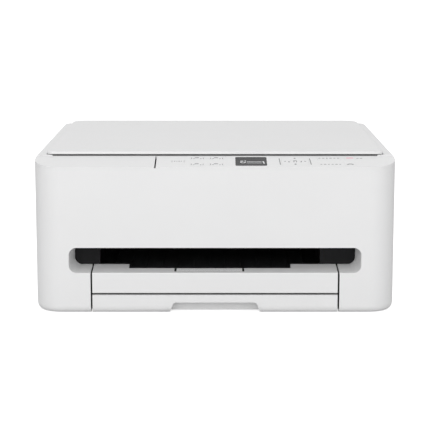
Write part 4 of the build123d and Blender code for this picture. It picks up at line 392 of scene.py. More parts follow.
def add_bump(tree, shader, height, distance, strength):
    """Bump from a height output, its distance in millimetres."""
    bump = add(tree, "ShaderNodeBump", {"Height": height, "Distance": distance * MM, "Strength": strength})
    tree.links.new(bump.outputs[0], shader.inputs["Normal"])


def rgba(colour, times=1.0):
    """Colour with alpha, lightened or darkened."""
    return tuple(min(1.0, channel * times) for channel in colour[:3]) + (1.0,)


def moulded(name, colour, gloss, drift, depth=0.02, scale=1.0, specular=0.5):
    """Moulded plastic or rubber: roughness, share of a slow shade, depth and scale of the grain."""
    material, tree, shader = new_material(name)
    grain = place_group(tree, "mould_grain", {
        "Colour": rgba(colour), "Shade": rgba(colour, drift), "Scale": scale,
        "Gloss low": gloss - GLOSS_DRIFT, "Gloss high": gloss + GLOSS_DRIFT})
    fill(tree, shader, {"Base Color": grain["Colour"], "Roughness": grain["Roughness"],
                        "Specular IOR Level": specular})
    add_bump(tree, shader, grain["Height"], depth, 0.35)
    material.diffuse_color = rgba(colour)


def metal(name, colour, low, high):
    """Sheet or ground steel, its roughness between two bounds."""
    material, tree, shader = new_material(name)
    lines = place_group(tree, "drawn_metal", {
        "Colour": rgba(colour), "Shade": rgba(colour, 0.82), "Scale": 1.0,
        "Gloss low": low, "Gloss high": high})
    fill(tree, shader, {"Base Color": lines["Colour"], "Roughness": lines["Roughness"], "Metallic": 1.0})
    add_bump(tree, shader, lines["Height"], 0.01, 0.3)


def board_finish(name, lacquer, track):
    """Circuit board under green lacquer."""
    material, tree, shader = new_material(name)
    tracks = place_group(tree, "board_tracks", {"Lacquer": rgba(lacquer), "Track": rgba(track), "Scale": 1.0})
    fill(tree, shader, {"Base Color": tracks["Colour"], "Roughness": 0.3, "Coat Weight": 0.4})
    add_bump(tree, shader, tracks["Height"], 0.03, 0.5)


def flat_glass(name, tint):
    """Clear float glass with a faint waviness."""
    material, tree, shader = new_material(name)
    coords = add(tree, "ShaderNodeTexCoord").outputs["Object"]
    wave = add(tree, "ShaderNodeTexNoise", {"Vector": coords, "Scale": WAVE_SCALE})
    add_bump(tree, shader, wave.outputs["Fac"], 0.01, 0.2)
    fill(tree, shader, {"Base Color": rgba(tint), "Roughness": 0.02, "Transmission Weight": 1.0, "IOR": 1.5})


def make_finishes(colours):
    """All materials, one for each slot of the record and a few for marks and small parts."""
    mould_grain_group()
    drawn_metal_group()
    board_tracks_group()
    casing = colours.casing
    moulded("white_casing", casing, 0.42, 0.985)
    moulded("white_smooth", casing, 0.36, 0.99, 0.01)
    moulded("white_key", casing, 0.34, 0.99, 0.008)
    # Stopper flap: the casing's white lightened by a tenth, a painted highlight for the brighter look of its top
    moulded("white_flap", [min(0.97, channel * 1.1) for channel in casing], 0.3, 0.99, 0.008)
    moulded("black_lining", colours.lining, 0.36, 0.7, 0.03, specular=0.12)
    moulded("black_floor", (0.05, 0.05, 0.052), 0.4, 0.7, 0.03)
    moulded("black_mechanism", (0.022, 0.022, 0.024), 0.42, 0.8)
    moulded("dark_tray", colours.tray, 0.45, 0.85, 0.03)
    moulded("grey_inner", (0.16, 0.165, 0.17), 0.5, 0.9)
    moulded("natural_gear", (0.74, 0.72, 0.64), 0.35, 0.94, 0.005)
    moulded("rubber_black", (0.018, 0.018, 0.018), 0.75, 0.8, 0.04, 1.4, specular=0.3)
    moulded("rubber_grey", (0.06, 0.06, 0.062), 0.8, 0.85, 0.04, 1.4, specular=0.3)
    moulded("pad_white", (0.82, 0.82, 0.81), 0.65, 0.97, 0.06, 0.7, specular=0.3)
    moulded("ink_black", (0.016, 0.016, 0.018), 0.3, 0.85, 0.01)
    moulded("ink_colour", (0.09, 0.095, 0.105), 0.3, 0.88, 0.01)
    moulded("window_smoked", colours.window, 0.22, 0.9, 0.001, specular=0.09)
    metal("steel_sheet", (0.62, 0.62, 0.63), 0.3, 0.5)
    metal("steel_shaft", (0.7, 0.7, 0.71), 0.14, 0.3)
    board_finish("circuit_green", (0.012, 0.09, 0.04), (0.03, 0.17, 0.07))
    flat_glass("glass_clear", (0.93, 0.96, 0.95))
    mark = colours.mark
    moulded("mark_grey", mark, 0.5, 0.92, 0.004)
    moulded("mark_pale", [0.5 * channel + 0.3 for channel in mark], 0.5, 0.96, 0.004)
    moulded("mark_dark", [0.45 * channel for channel in mark], 0.5, 0.9, 0.004)
    moulded("mark_pink", (0.85, 0.5, 0.56), 0.5, 0.94, 0.004)
    moulded("display_mark", (0.78, 0.79, 0.8), 0.3, 0.92, 0.001)
    labels = {"cyan": (0.02, 0.35, 0.6), "magenta": (0.6, 0.03, 0.25), "yellow": (0.8, 0.62, 0.03),
              "grey": (0.3, 0.3, 0.31)}
    for ink, colour in labels.items():
        moulded("label_" + ink, colour, 0.35, 0.92, 0.004)


# Mouldings: each CAD node's copy with merged faces and softened edges


def merged_copy(node):
    """Bmesh of a CAD node with its loose triangles joined and its flat faces whole."""
    bm = bmesh.new()
    bm.from_mesh(NODES[node].data)
    bmesh.ops.remove_doubles(bm, verts=bm.verts, dist=MERGE)
    bmesh.ops.dissolve_limit(bm, angle_limit=FLAT_ANGLE, verts=bm.verts, edges=bm.edges)
    return bm


def soften(bm, radius):
    """Rounds the sharp edges of a moulding."""
    sharp = [edge for edge in bm.edges
             if len(edge.link_faces) == 2 and edge.calc_length() > EDGE_SHARE * radius
             and edge.calc_face_angle(0.0) > SHARP_ANGLE]
    if sharp and radius > 0:
        bmesh.ops.bevel(bm, geom=sharp, offset=radius, offset_type="OFFSET", segments=2, profile=0.5,
                        affect="EDGES", clamp_overlap=True)


def draw_in_lid_edge(bm):
    """Draws the lid's sides inwards and tightens its front corners."""
    sizes = bpy.context.scene.printer_sizes
    low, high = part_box("lid_cover")
    tighter = PACKED_LID_CORNER - sizes.lid_corner
    corner_x, corner_y = high.x - PACKED_LID_CORNER, low.y + PACKED_LID_CORNER
    for vert in bm.verts:
        side = abs(vert.co.x)
        if side < corner_x - LID_STRAIGHT:
            continue
        over = Vector((side - corner_x, corner_y - vert.co.y))
        if min(over) > 0 and over.length > tighter:
            over = over.normalized() * (over.length - tighter) + Vector((tighter, tighter))
        vert.co.x = math.copysign(corner_x + over.x - sizes.lid_trim, vert.co.x)
        vert.co.y = corner_y - over.y


def draw_in_well(bm):
    """Draws the sides of the well round the lid inwards and tightens its front corners."""
    sizes = bpy.context.scene.printer_sizes
    low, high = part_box("lid_cover")
    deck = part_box("scanner_cover")[1].z - WELL_DEPTH
    wall, front = high.x + WELL_SIDE_GAP, low.y - WELL_FRONT_GAP
    centre_x, centre_y = wall - PACKED_LID_CORNER, front + PACKED_LID_CORNER
    radius = sizes.lid_corner + WELL_SIDE_GAP
    new_wall = wall - sizes.lid_trim
    for vert in bm.verts:
        side = abs(vert.co.x)
        if vert.co.z < deck - ON_FACE or side > wall + ON_FACE or vert.co.y < front - ON_FACE:
            continue
        over_x, over_y = side - centre_x, centre_y - vert.co.y
        if over_y >= -ON_FACE and over_x >= -ON_FACE and math.hypot(over_x, over_y) > PACKED_LID_CORNER - MM:
            turn = math.atan2(max(0.0, over_y), max(0.0, over_x))
            vert.co.x = math.copysign(new_wall - radius + radius * math.cos(turn), vert.co.x)
            vert.co.y = front + radius - radius * math.sin(turn)
        elif side > wall - ON_FACE:
            vert.co.x = math.copysign(new_wall, vert.co.x)


def stopper_ends():
    """X of the stopper flap's two ends."""
    low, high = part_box("paper_stopper")
    return low.x + PIN_LENGTH, high.x - PIN_LENGTH


def widen_stopper_seat(bm):
    """Stands the tray's ears back from the stopper's ends."""
    trim = bpy.context.scene.printer_sizes.ear_trim
    left, right = stopper_ends()
    for vert in bm.verts:
        if abs(vert.co.x - (left - FLAP_GAP)) < ON_FACE:
            vert.co.x -= trim
        elif abs(vert.co.x - (right + FLAP_GAP)) < ON_FACE:
            vert.co.x += trim


def outline_depth(point, high):
    """Depth of a point inside the casing's rounded footprint, and the way out."""
    corner = FRONT_CORNER if point.y < 0 else REAR_CORNER
    over_x = abs(point.x) - (high.x - corner)
    over_y = abs(point.y) - (high.y - corner)
    if min(over_x, over_y) > 0:
        out = Vector((over_x, over_y))
        depth = corner - out.length
        out.normalize()
    else:
        depth = corner - max(over_x, over_y)
        out = Vector((1, 0)) if over_x > over_y else Vector((0, 1))
    return depth, Vector((math.copysign(out.x, point.x), math.copysign(out.y, point.y), 0.0))


def arc_inset(radius, height):
    """How far a rounded lower edge lies inside the wall at a height above its foot."""
    rest = max(0.0, radius - height)
    return radius - math.sqrt(radius * radius - rest * rest)


def round_bottom(bm):
    """Gives the casing's and the drawer front's lower edge its full radius."""
    sizes = bpy.context.scene.printer_sizes
    low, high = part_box("lower_shell")
    foot = low.z
    radius = sizes.bottom_edge
    levels = [foot + radius * (1 - math.cos(math.radians(turn))) for turn in range(10, 91, 10)]
    for level in levels + [foot + radius + GUARD]:
        bmesh.ops.bisect_plane(bm, geom=bm.verts[:] + bm.edges[:] + bm.faces[:], plane_co=(0, 0, level),
                               plane_no=(0, 0, 1))
    for vert in bm.verts:
        height = vert.co.z - foot
        if height > radius:
            continue
        depth, out = outline_depth(vert.co, high)
        packed = arc_inset(PACKED_BOTTOM_EDGE, height)
        if depth < packed + SKIN:
            vert.co -= out * (arc_inset(radius, height) - depth)
            vert.co.z -= sizes.bottom_drop * (1 - height / radius)


def stand_back(bm, node, axis, side, trim):
    """Moves the outermost face of a piece, on one side of an axis, back from its neighbour."""
    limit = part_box(node)[0 if side < 0 else 1][axis]
    for vert in bm.verts:
        if abs(vert.co[axis] - limit) < ON_FACE:
            vert.co[axis] -= side * trim


def open_seams(bm, node):
    """Opens the seams round the tray's head, the drawer's front and the operating panel."""
    trim = bpy.context.scene.printer_sizes.seam_trim
    for axis, side, share in SEAMS.get(node, ()):
        stand_back(bm, node, axis, side, share * trim)
    if node == "lower_shell":
        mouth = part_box("output_tray")[1].x + DRAWER_GAP
        for vert in bm.verts:
            if abs(abs(vert.co.x) - mouth) < ON_FACE:
                vert.co.x += math.copysign(SHELL_SEAM_SHARE * trim, vert.co.x)


OWN_FORMS = {"lower_shell": round_bottom, "cassette_front": round_bottom, "output_tray": widen_stopper_seat,
             "lid_cover": draw_in_lid_edge, "scanner_cover": draw_in_well}


def dress(node, radius):
    """Moulding that stands for a CAD node, with soft edges and smooth curves."""
    bm = merged_copy(node)
    open_seams(bm, node)
    if node in OWN_FORMS:
        OWN_FORMS[node](bm)
    soften(bm, radius)
    mesh = bpy.data.meshes.new(node + "_moulding")
    bm.to_mesh(mesh)
    bm.free()
    smooth(mesh)
    obj = mesh_object(node + "_moulding", mesh)
    weigh_normals(obj)
    finish = OWN_FINISH.get(node, NODE_SLOT[node])
    fit_piece(obj, NODE_BODY[node], finish_of(finish))
    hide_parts(node)


# Marks on the operating strip


def strip_place(node):
    """Matrix of a flat part of the strip: X to the right, Y up the slope, Z out of the surface."""
    normal = -Vector(JOINTS["power_key_press"]["axis"]).normalized()
    right = Vector((1, 0, 0))
    low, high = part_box(node)
    middle = (low + high) / 2
    reach = max(vert.co.dot(normal) for vert in NODES[node].data.vertices)
    middle = middle + normal * (reach - middle.dot(normal))
    rotation = Matrix((right, normal.cross(right), normal)).transposed().to_4x4()
    return Matrix.Translation(middle) @ rotation


def prism(bm, first, last):
    """Closed solid between two like outlines."""
    first, last = ([bm.verts.new(point) for point in outline] for outline in (first, last))
    bm.faces.new(list(reversed(first)))
    bm.faces.new(last)
    for i, vert in enumerate(first):
        bm.faces.new((first[i - 1], vert, last[i], last[i - 1]))


def outline_prism(bm, points, height):
    """Thin prism over a flat outline."""
    prism(bm, *([(x, y, z) for x, y in points] for z in (0.0, height)))


def bar(bm, x, y, width, height, ink, slant=0.0):
    """Rounded stroke, its long side leaning by a slant."""
    radius = min(width, height) / 2
    points = []
    for side_x, side_y, turn in ((1, 1, 0), (-1, 1, 90), (-1, -1, 180), (1, -1, 270)):
        middle_x, middle_y = x + side_x * (width / 2 - radius), y + side_y * (height / 2 - radius)
        for step in (0, 30, 60, 90):
            angle = math.radians(turn + step)
            rise = middle_y + radius * math.sin(angle) - y
            points.append((middle_x + radius * math.cos(angle) + slant * rise, y + rise))
    outline_prism(bm, points, ink)


def bars(bm, ink, *rows):
    """Strokes, each with X, Y, width and height in millimetres, and a slant where it leans."""
    for x, y, width, height, *slant in rows:
        bar(bm, x * MM, y * MM, width * MM, height * MM, ink, *slant)


def word(bm, ink, start, pitch, widths, y, height):
    """Row of short strokes for a word, in millimetres."""
    bars(bm, ink, *((start + pitch * i, y, width, height) for i, width in enumerate(widths)))


def arc(bm, x, y, radius, start, end, stroke, ink):
    """Stroke along part of a circle."""
    steps = max(6, int(abs(end - start) / 12))
    angles = [math.radians(start + (end - start) * i / steps) for i in range(steps + 1)]
    outer, inner = ([(x + reach * math.cos(a), y + reach * math.sin(a)) for a in angles]
                    for reach in (radius + stroke / 2, radius - stroke / 2))
    for i in range(steps):
        outline_prism(bm, [inner[i], outer[i], outer[i + 1], inner[i + 1]], ink)


def arrow(bm, x, y, size, turn, ink):
    """Small triangle that points along a direction."""
    angles = [math.radians(turn + corner) for corner in (0, 130, 230)]
    outline_prism(bm, [(x + size * math.cos(a), y + size * math.sin(a)) for a in angles], ink)


def mark_piece(name, place, body, material, draw):
    """Printed marks in one ink on a flat place."""
    sizes = bpy.context.scene.printer_sizes
    bm = bmesh.new()
    draw(bm, sizes.stroke, sizes.ink_height)
    bmesh.ops.remove_doubles(bm, verts=bm.verts, dist=MARK_MERGE)
    mesh = from_bmesh(bm, name)
    mesh.transform(place)
    fit_piece(mesh_object(name, mesh), body, finish_of(material))


# Rows of small parts, and the belt


def new_tree(name, inputs):
    """Geometry node tree with named inputs."""
    return new_group(name, {"Geometry": GEOMETRY, **inputs}, {"Geometry": GEOMETRY}, "GeometryNodeTree")


def end_tree(tree, start, end, geometry):
    """Realize Instances and Set Material before the output."""
    real = add(tree, "GeometryNodeRealizeInstances", {0: geometry})
    paint = add(tree, "GeometryNodeSetMaterial", {
        "Geometry": real.outputs[0], "Material": start.outputs["Material"]})
    tree.links.new(paint.outputs[0], end.inputs[0])
    return tree


def stamp_tree():
    """Copies of one shape on the points of a mesh, turned by each point's own direction."""
    tree, start, end = new_tree("stamped_row", {"Shape": OBJECT, "Size": NUMBER, "Material": MATERIAL})
    points = add(tree, "GeometryNodeMeshToPoints", {0: start.outputs["Geometry"]})
    facing = add(tree, "GeometryNodeInputNamedAttribute", {"Name": "facing"}, data_type="FLOAT_VECTOR")
    turn = add(tree, "FunctionNodeAlignRotationToVector", {"Vector": facing.outputs["Attribute"]}, axis="Z")
    shape = add(tree, "GeometryNodeObjectInfo", {"Object": start.outputs["Shape"]})
    stamp = add(tree, "GeometryNodeInstanceOnPoints", {
        "Points": points.outputs[0], "Instance": shape.outputs["Geometry"], "Rotation": turn.outputs[0],
        "Scale": start.outputs["Size"]})
    return end_tree(tree, start, end, stamp.outputs[0])


def belt_tree():
    """Flat belt along a closed path, with teeth on its inner face."""
    tree, start, end = new_tree("toothed_belt", {
        "Width": NUMBER, "Thickness": NUMBER, "Pitch": NUMBER, "Material": MATERIAL})
    width, thickness, pitch = (start.outputs[label] for label in ("Width", "Thickness", "Pitch"))
    path = add(tree, "GeometryNodeMeshToCurve", {0: start.outputs["Geometry"]})
    upright = add(tree, "GeometryNodeSetCurveNormal", {0: path.outputs[0]}, mode="Z_UP").outputs[0]
    profile = add(tree, "GeometryNodeCurvePrimitiveQuadrilateral", {"Width": thickness, "Height": width})
    band = add(tree, "GeometryNodeCurveToMesh", {"Curve": upright, "Profile Curve": profile.outputs[0]})
    size = add(tree, "ShaderNodeCombineXYZ", {
        "X": maths(tree, "MULTIPLY", pitch, TOOTH_SHARE), "Y": thickness, "Z": width})
    tooth = add(tree, "GeometryNodeMeshCube", {"Size": size.outputs[0]})
    spaced = add(tree, "GeometryNodeCurveToPoints", {"Curve": upright, "Length": pitch}, mode="LENGTH")
    turn = add(tree, "FunctionNodeAlignRotationToVector", {"Vector": spaced.outputs["Tangent"]},
               axis="X", pivot_axis="Z")
    stamp = add(tree, "GeometryNodeInstanceOnPoints", {
        "Points": spaced.outputs["Points"], "Instance": tooth.outputs["Mesh"], "Rotation": turn.outputs[0]})
    inward = add(tree, "ShaderNodeCombineXYZ", {"Y": maths(tree, "MULTIPLY", thickness, TOOTH_RISE)})
    shift = add(tree, "GeometryNodeTranslateInstances", {
        0: stamp.outputs[0], "Translation": inward.outputs[0]})
    join = add(tree, "GeometryNodeJoinGeometry", {0: band.outputs[0]})
    tree.links.new(shift.outputs[0], join.inputs[0])
    return end_tree(tree, start, end, join.outputs[0])


def grown(name, source, tree, values):
    """Plain mesh that a geometry node tree makes from a source mesh."""
    carrier = mesh_object(name + "_source", source)
    modifier = carrier.modifiers.new(name, "NODES")
    modifier.node_group = tree
    sockets = {item.name: item.identifier for item in tree.interface.items_tree if item.in_out == "INPUT"}
    for label, value in values.items():
        modifier[sockets[label]] = value
    mesh = evaluated_mesh(carrier)
    mesh.name = name
    bpy.data.objects.remove(carrier)
    return mesh


def point_mesh(name, places):
    """Loose points, each with the direction that it faces."""
    mesh = bpy.data.meshes.new(name)
    mesh.from_pydata([tuple(place) for place, _ in places], [], [])
    facing = mesh.attributes.new("facing", "FLOAT_VECTOR", "POINT")
    for i, (_, direction) in enumerate(places):
        facing.data[i].vector = direction
    return mesh


def stamped(name, places, shape, body, material, size):
    """Row of like small parts on given places, as one piece."""
    tree = bpy.data.node_groups.get("stamped_row") or stamp_tree()
    mesh = grown(name, point_mesh(name + "_places", places), tree,
                 {"Shape": shape, "Size": size, "Material": finish_of(material)})
    smooth(mesh, 30.0)
    fit_piece(mesh_object(name, mesh), body, finish_of(material))


def screw_head(radius):
    """Pan head with a cross recess, its seat at the origin and its top along Z, kept out of the scene."""
    bm = bmesh.new()

    def ring(shares, rise):
        angles = (2 * math.pi * i / HEAD_STEPS for i in range(HEAD_STEPS))
        return [bm.verts.new((radius * share * math.cos(a), radius * share * math.sin(a), radius * rise))
                for share, a in zip(shares, angles)]

    cross = [CROSS_TIP if i % 6 in (0, 1, 5) else CROSS_WAIST for i in range(HEAD_STEPS)]
    rings = [ring([share] * HEAD_STEPS, rise) for share, rise in HEAD_RINGS] + [ring(cross, CROSS_FLOOR)]
    for low, high in zip(rings, rings[1:]):
        for i in range(HEAD_STEPS):
            bm.faces.new((low[i - 1], low[i], high[i], high[i - 1]))
    bm.faces.new(rings[-1])
    bm.faces.new(list(reversed(rings[0])))
    return bpy.data.objects.new("screw_head", from_bmesh(bm, "screw_head"))


# Operators


class PRINTER_OT_finishes(bpy.types.Operator):
    """Make the finishes and give them to the CAD nodes"""
    bl_idname = "printer.finishes"
    bl_label = "Finishes"

    def execute(self, context):
        make_finishes(context.scene.printer_colours)
        for node, obj in NODES.items():
            obj.data.materials.clear()
            obj.data.materials.append(finish_of(NODE_SLOT[node]))
        return {"FINISHED"}


class PRINTER_OT_casings(bpy.types.Operator):
    """Soften the outer mouldings and put black plates of painted shade in the stopper's gaps"""
    bl_idname = "printer.casings"
    bl_label = "Casings"

    def execute(self, context):
        sizes = context.scene.printer_sizes
        for node in CASING_NODES:
            dress(node, sizes.casing_edge)
        for node in FRONT_NODES:
            dress(node, sizes.front_edge)
        make_stopper_shade_plates(sizes)
        return {"FINISHED"}


def make_stopper_shade_plates(sizes):
    """Black plates as painted shade: one in each gap at the stopper's ends, round its pins, and a strip along its
    round nose.
    """
    low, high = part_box("paper_stopper")
    left, right = stopper_ends()
    axis_y, axis_z = low.y + FLAP_NOSE, low.z + FLAP_NOSE

    def round_nose(radius, turns):
        angles = (math.radians(turn) for turn in turns)
        return [(axis_y + radius * math.cos(a), axis_z + radius * math.sin(a)) for a in angles]

    def dark_piece(name, outline, spans, body):
        bm = bmesh.new()
        for span in spans:
            prism(bm, *([(x, y, z) for y, z in outline] for x in span))
        fit_piece(mesh_object(name, from_bmesh(bm, name)), body, finish_of("rubber_black"))

    # Plates at the stopper's ends: painted shade that darkens the gaps beside the flap
    thin = FLAP_NOSE - END_SHADE_GAP
    end_y, end_z = high.y - END_SHADE_BACK, high.z - FLAP_NOSE
    end_shade_outline = round_nose(thin, range(95, 276, 15)) + [(end_y, end_z - thin), (end_y, end_z + thin)]
    width = FLAP_GAP + sizes.ear_trim - END_SHADE_SIDE_GAP
    dark_piece("stopper_washers", end_shade_outline, ((left - width, left), (right, right + width)),
               NODE_BODY["paper_stopper"])
    # Strip along the flap's nose: painted shade for the dark line in the groove in front of it
    wall = low.y - FLAP_SEAT_GAP
    nose_shade_outline = [(wall, axis_z + NOSE_SHADE_FOOT), (wall, axis_z + NOSE_SHADE_TOP)]
    nose_shade_outline += round_nose(FLAP_NOSE + NOSE_SHADE_GAP, range(127, 158, 6))
    dark_piece("stopper_seal", nose_shade_outline, ((left + NOSE_SHADE_END_GAP, right - NOSE_SHADE_END_GAP),), NODE_BODY["output_tray"])


class PRINTER_OT_keys(bpy.types.Operator):
    """Smooth the keys and print their marks"""
    bl_idname = "printer.keys"
    bl_label = "Keys and marks"

    def execute(self, context):
        for node in KEY_NODES + ("lcd_window",):
            dress(node, 0.0)
        print_key_marks()
        print_panel_marks()
        return {"FINISHED"}


def print_key_marks():
    """Marks on the key caps."""
    def power(bm, stroke, ink):
        for side in (-1, 1):
            bar(bm, side * 6.2 * MM, 0, stroke, 5.5 * MM, ink)
        word(bm, ink, -3.6, 2.4, (1.6, 1.1, 2.0, 1.3), 0.3, 2.6)

    def function(bm, stroke, ink):
        bar(bm, -6.1 * MM, 0, 1.2 * stroke, 5.0 * MM, ink)
        bar(bm, 6.1 * MM, -0.4 * MM, 1.2 * stroke, 4.6 * MM, ink)
        bars(bm, ink, (-0.6, 1.6, 4.6, 2.4), (3.6, -1.6, 1.8, 1.6), (-3.6, -1.4, 2.2, 1.4))

    def navigation(bm, stroke, ink):
        for side, turn in ((-1, 180), (1, 0)):
            arrow(bm, side * 10.6 * MM, 0, 1.5 * MM, turn, ink)
        bars(bm, ink, (0, 10.2, 2.2, 2.6), (0, -9.6, 2.4, 3.0), (-6.4, -1.6, 1.2, 3.4),
             (6.4, -0.8, 1.2, 4.2, 0.2))

    def confirm(bm, stroke, ink):
        bars(bm, ink, (0, 2.6, 4.2, 1.5), (-1.2, -1.4, 1.5, 2.8), (1.4, -1.4, 1.3, 2.8))

    def start_dark(bm, stroke, ink):
        word(bm, ink, -9.8, 3.9, (2.4, 3.0, 1.6, 3.2, 2.6, 2.8), 0, 2.4)
        bar(bm, -2.0 * MM, -0.4 * MM, stroke, 5.4 * MM, ink)

    def start_tinted(bm, stroke, ink):
        bars(bm, ink, (0, 0.6, 8.0, 3.6))

    def stop(bm, stroke, ink):
        arc(bm, 0, -2.6 * MM, 3.6 * MM, 30, 150, 3.2 * stroke, ink)

    marks = [("mark_pale", power)] + 4 * [("mark_grey", function)]
    marks += [("mark_grey", navigation), ("mark_grey", confirm), ("mark_pale", start_dark),
              ("mark_pink", start_tinted), ("mark_dark", stop)]
    for node, (material, draw) in zip(KEY_NODES, marks):
        mark_piece(node + "_mark", strip_place(node), NODE_BODY[node], material, draw)


def print_panel_marks():
    """Brackets and dashes on the panel, and the signs on the display window."""
    def brackets(bm, stroke, ink):
        bars(bm, ink, *((side * 15.9, -0.6, 0.9, 21.0, -0.03) for side in (-1, 1)))

    def dashes(bm, stroke, ink):
        word(bm, ink, 26.6, 3.9, (2.2, 3.0, 1.8, 2.6, 3.2, 2.0), -10.0, 2.4)
        word(bm, ink, 65.8, 3.6, (2.6, 3.0), 10.2, 2.4)

    def signs(bm, stroke, ink):
        bars(bm, ink, (-9.6, 0.6, 3.6, 2.4))
        arc(bm, -8.4 * MM, -3.0 * MM, 2.2 * MM, 150, 390, 2.6 * stroke, ink)
        bars(bm, ink, (-6.0, 1.4, 1.6, 2.6), (3.2, -2.0, 16.0, 1.6), (3.2, -6.4, 16.0, 0.5),
             (12.9, -3.4, 1.5, 8.0, -0.1))

    panel = strip_place("navigation_key") @ Matrix.Translation((0, 0, -MARK_DROP))
    rows = (("keypad_brackets", panel, "white_smooth", "mark_grey", brackets),
            ("panel_dashes", panel, "white_smooth", "mark_pale", dashes),
            ("display_signs", strip_place("lcd_window"), "window_smoked", "display_mark", signs))
    for name, place, slot, material, draw in rows:
        mark_piece(name, place, "scanner_unit", material, draw)


class PRINTER_OT_mechanism(bpy.types.Operator):
    """Soften the inner parts and add the belt's teeth, the screws and the cartridges' labels"""
    bl_idname = "printer.mechanism"
    bl_label = "Mechanism"

    def execute(self, context):
        sizes = context.scene.printer_sizes
        outer = set(CASING_NODES + FRONT_NODES + KEY_NODES + ("lcd_window", "lid_pad", "carriage_belt"))
        for node in sorted(set(NODES) - outer):
            dress(node, 0.0 if "glass" in node else sizes.part_edge)
        make_belt(sizes)
        make_screws(sizes)
        make_cartridge_labels(sizes)
        return {"FINISHED"}


def make_cartridge_labels(sizes):
    """Labels on the cartridges' tops, seen through the windows of their latches."""
    short_x, short_y = LABEL_HALF_X - LABEL_CUT, LABEL_HALF_Y - LABEL_CUT
    corners = []
    for x, y in ((1, 1), (-1, 1), (-1, -1), (1, -1)):
        ends = [(x * LABEL_HALF_X, y * short_y), (x * short_x, y * LABEL_HALF_Y)]
        corners += ends if x == y else ends[::-1]
    for node, inks in LABEL_INKS.items():
        low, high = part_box(node)
        place = Matrix.Translation(((low.x + high.x) / 2, low.y + LABEL_BACK, high.z))
        bm = bmesh.new()
        outline_prism(bm, corners, PAPER_HEIGHT)
        bar(bm, 0, 9.4 * MM, 10.0 * MM, 2.0 * MM, LINE_HEIGHT)
        layers = [("paper", "mark_pale", bm)]
        for i, ink in enumerate(inks):
            x = STRIPE_PITCH * (i - (len(inks) - 1) / 2)
            bm = bmesh.new()
            bar(bm, x, -1.6 * MM, STRIPE_STROKES * sizes.stroke, STRIPE_LENGTH, STRIPE_HEIGHT)
            layers.append((ink, ink, bm))
        for label, ink, bm in layers:
            name = f"{node}_{label}"
            mesh = from_bmesh(bm, name)
            mesh.transform(place)
            fit_piece(mesh_object(name, mesh), NODE_BODY[node], finish_of(ink))


def make_belt(sizes):
    """Toothed belt round both pulleys."""
    low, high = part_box("carriage_belt")
    radius = (high.y - low.y) / 2 - BELT_THICKNESS / 2
    reach = (high.x - low.x) / 2 - BELT_THICKNESS / 2 - radius
    middle = (low + high) / 2
    path = []
    for side, start in ((1, -90), (-1, 90)):
        for i in range(HALF_TURN_STEPS + 1):
            angle = math.radians(start + 180 * i / HALF_TURN_STEPS)
            path.append((middle.x + side * reach + radius * math.cos(angle),
                         middle.y + radius * math.sin(angle), middle.z))
    source = bpy.data.meshes.new("belt_path")
    source.from_pydata(path, [(i, (i + 1) % len(path)) for i in range(len(path))], [])
    rubber = finish_of("rubber_black")
    mesh = grown("carriage_belt_toothed", source, belt_tree(), {
        "Width": high.z - low.z, "Thickness": BELT_THICKNESS, "Pitch": sizes.belt_pitch, "Material": rubber})
    obj = mesh_object("carriage_belt_toothed", mesh)
    fit_piece(obj, NODE_BODY["carriage_belt"], rubber)
    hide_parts("carriage_belt")


def make_screws(sizes):
    """Screws of the base pan and of the carriage rail."""
    head = screw_head(sizes.screw_radius)
    low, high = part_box("base_pan")
    rows = (low.y + BASE_INSET_Y, (low.y + high.y) / 2, high.y - BASE_INSET_Y)
    places = [(Vector((x, y, low.z)), (0, 0, -1))
              for x in (low.x + BASE_INSET_X, high.x - BASE_INSET_X) for y in rows]
    stamped("base_screws", places, head, "printer_base", "steel_sheet", SCREW_SHARE)
    low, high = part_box("carriage_rail")
    step = (high.x - low.x) / RAIL_SCREWS
    places = [(Vector((low.x + step * (i + 0.5), low.y, low.z + RAIL_SCREW_RISE)), (0, -1, 0))
              for i in range(RAIL_SCREWS)]
    stamped("rail_screws", places, head, "printer_base", "steel_shaft", SCREW_SHARE)


class PRINTER_OT_lid_pad(bpy.types.Operator):
    """Foam-backed pressing sheet under the lid"""
    bl_idname = "printer.lid_pad"
    bl_label = "Pressing sheet"

    def execute(self, context):
        low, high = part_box("lid_pad")
        bm = bmesh.new()
        bmesh.ops.create_cube(bm, size=1.0)
        size = high - low
        bmesh.ops.scale(bm, vec=size, verts=bm.verts)
        bmesh.ops.translate(bm, vec=(low + high) / 2, verts=bm.verts)
        upright = [edge for edge in bm.edges
                   if abs(edge.verts[0].co.z - edge.verts[1].co.z) > 0.5 * size.z]
        bmesh.ops.bevel(bm, geom=upright, offset=PAD_CORNER, segments=6, profile=0.5, affect="EDGES")
        rims = [edge for edge in bm.edges if abs(edge.verts[0].co.z - edge.verts[1].co.z) < ON_FACE]
        bmesh.ops.bevel(bm, geom=rims, offset=PAD_RIM, segments=4, profile=0.5, affect="EDGES",
                        clamp_overlap=True)
        mesh = from_bmesh(bm, "pressing_sheet")
        smooth(mesh, 40)
        obj = mesh_object("pressing_sheet", mesh)
        fit_piece(obj, "lid", finish_of("pad_white"))
        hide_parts("lid_pad")
        return {"FINISHED"}


class PRINTER_OT_studio(bpy.types.Operator):
    """Floor, light tent, soft lamps and camera"""
    bl_idname = "printer.studio"
    bl_label = "Studio"

    def execute(self, context):
        studio = context.scene.printer_studio
        make_floor(studio)
        make_tent(studio)
        for name, (place, size, power) in LAMPS.items():
            make_lamp(name, place, size, power)
        make_camera(studio)
        view = context.scene.view_settings
        view.view_transform = "Standard"
        view.look = "None"
        view.exposure = 0.0
        view.gamma = 1.0
        return {"FINISHED"}


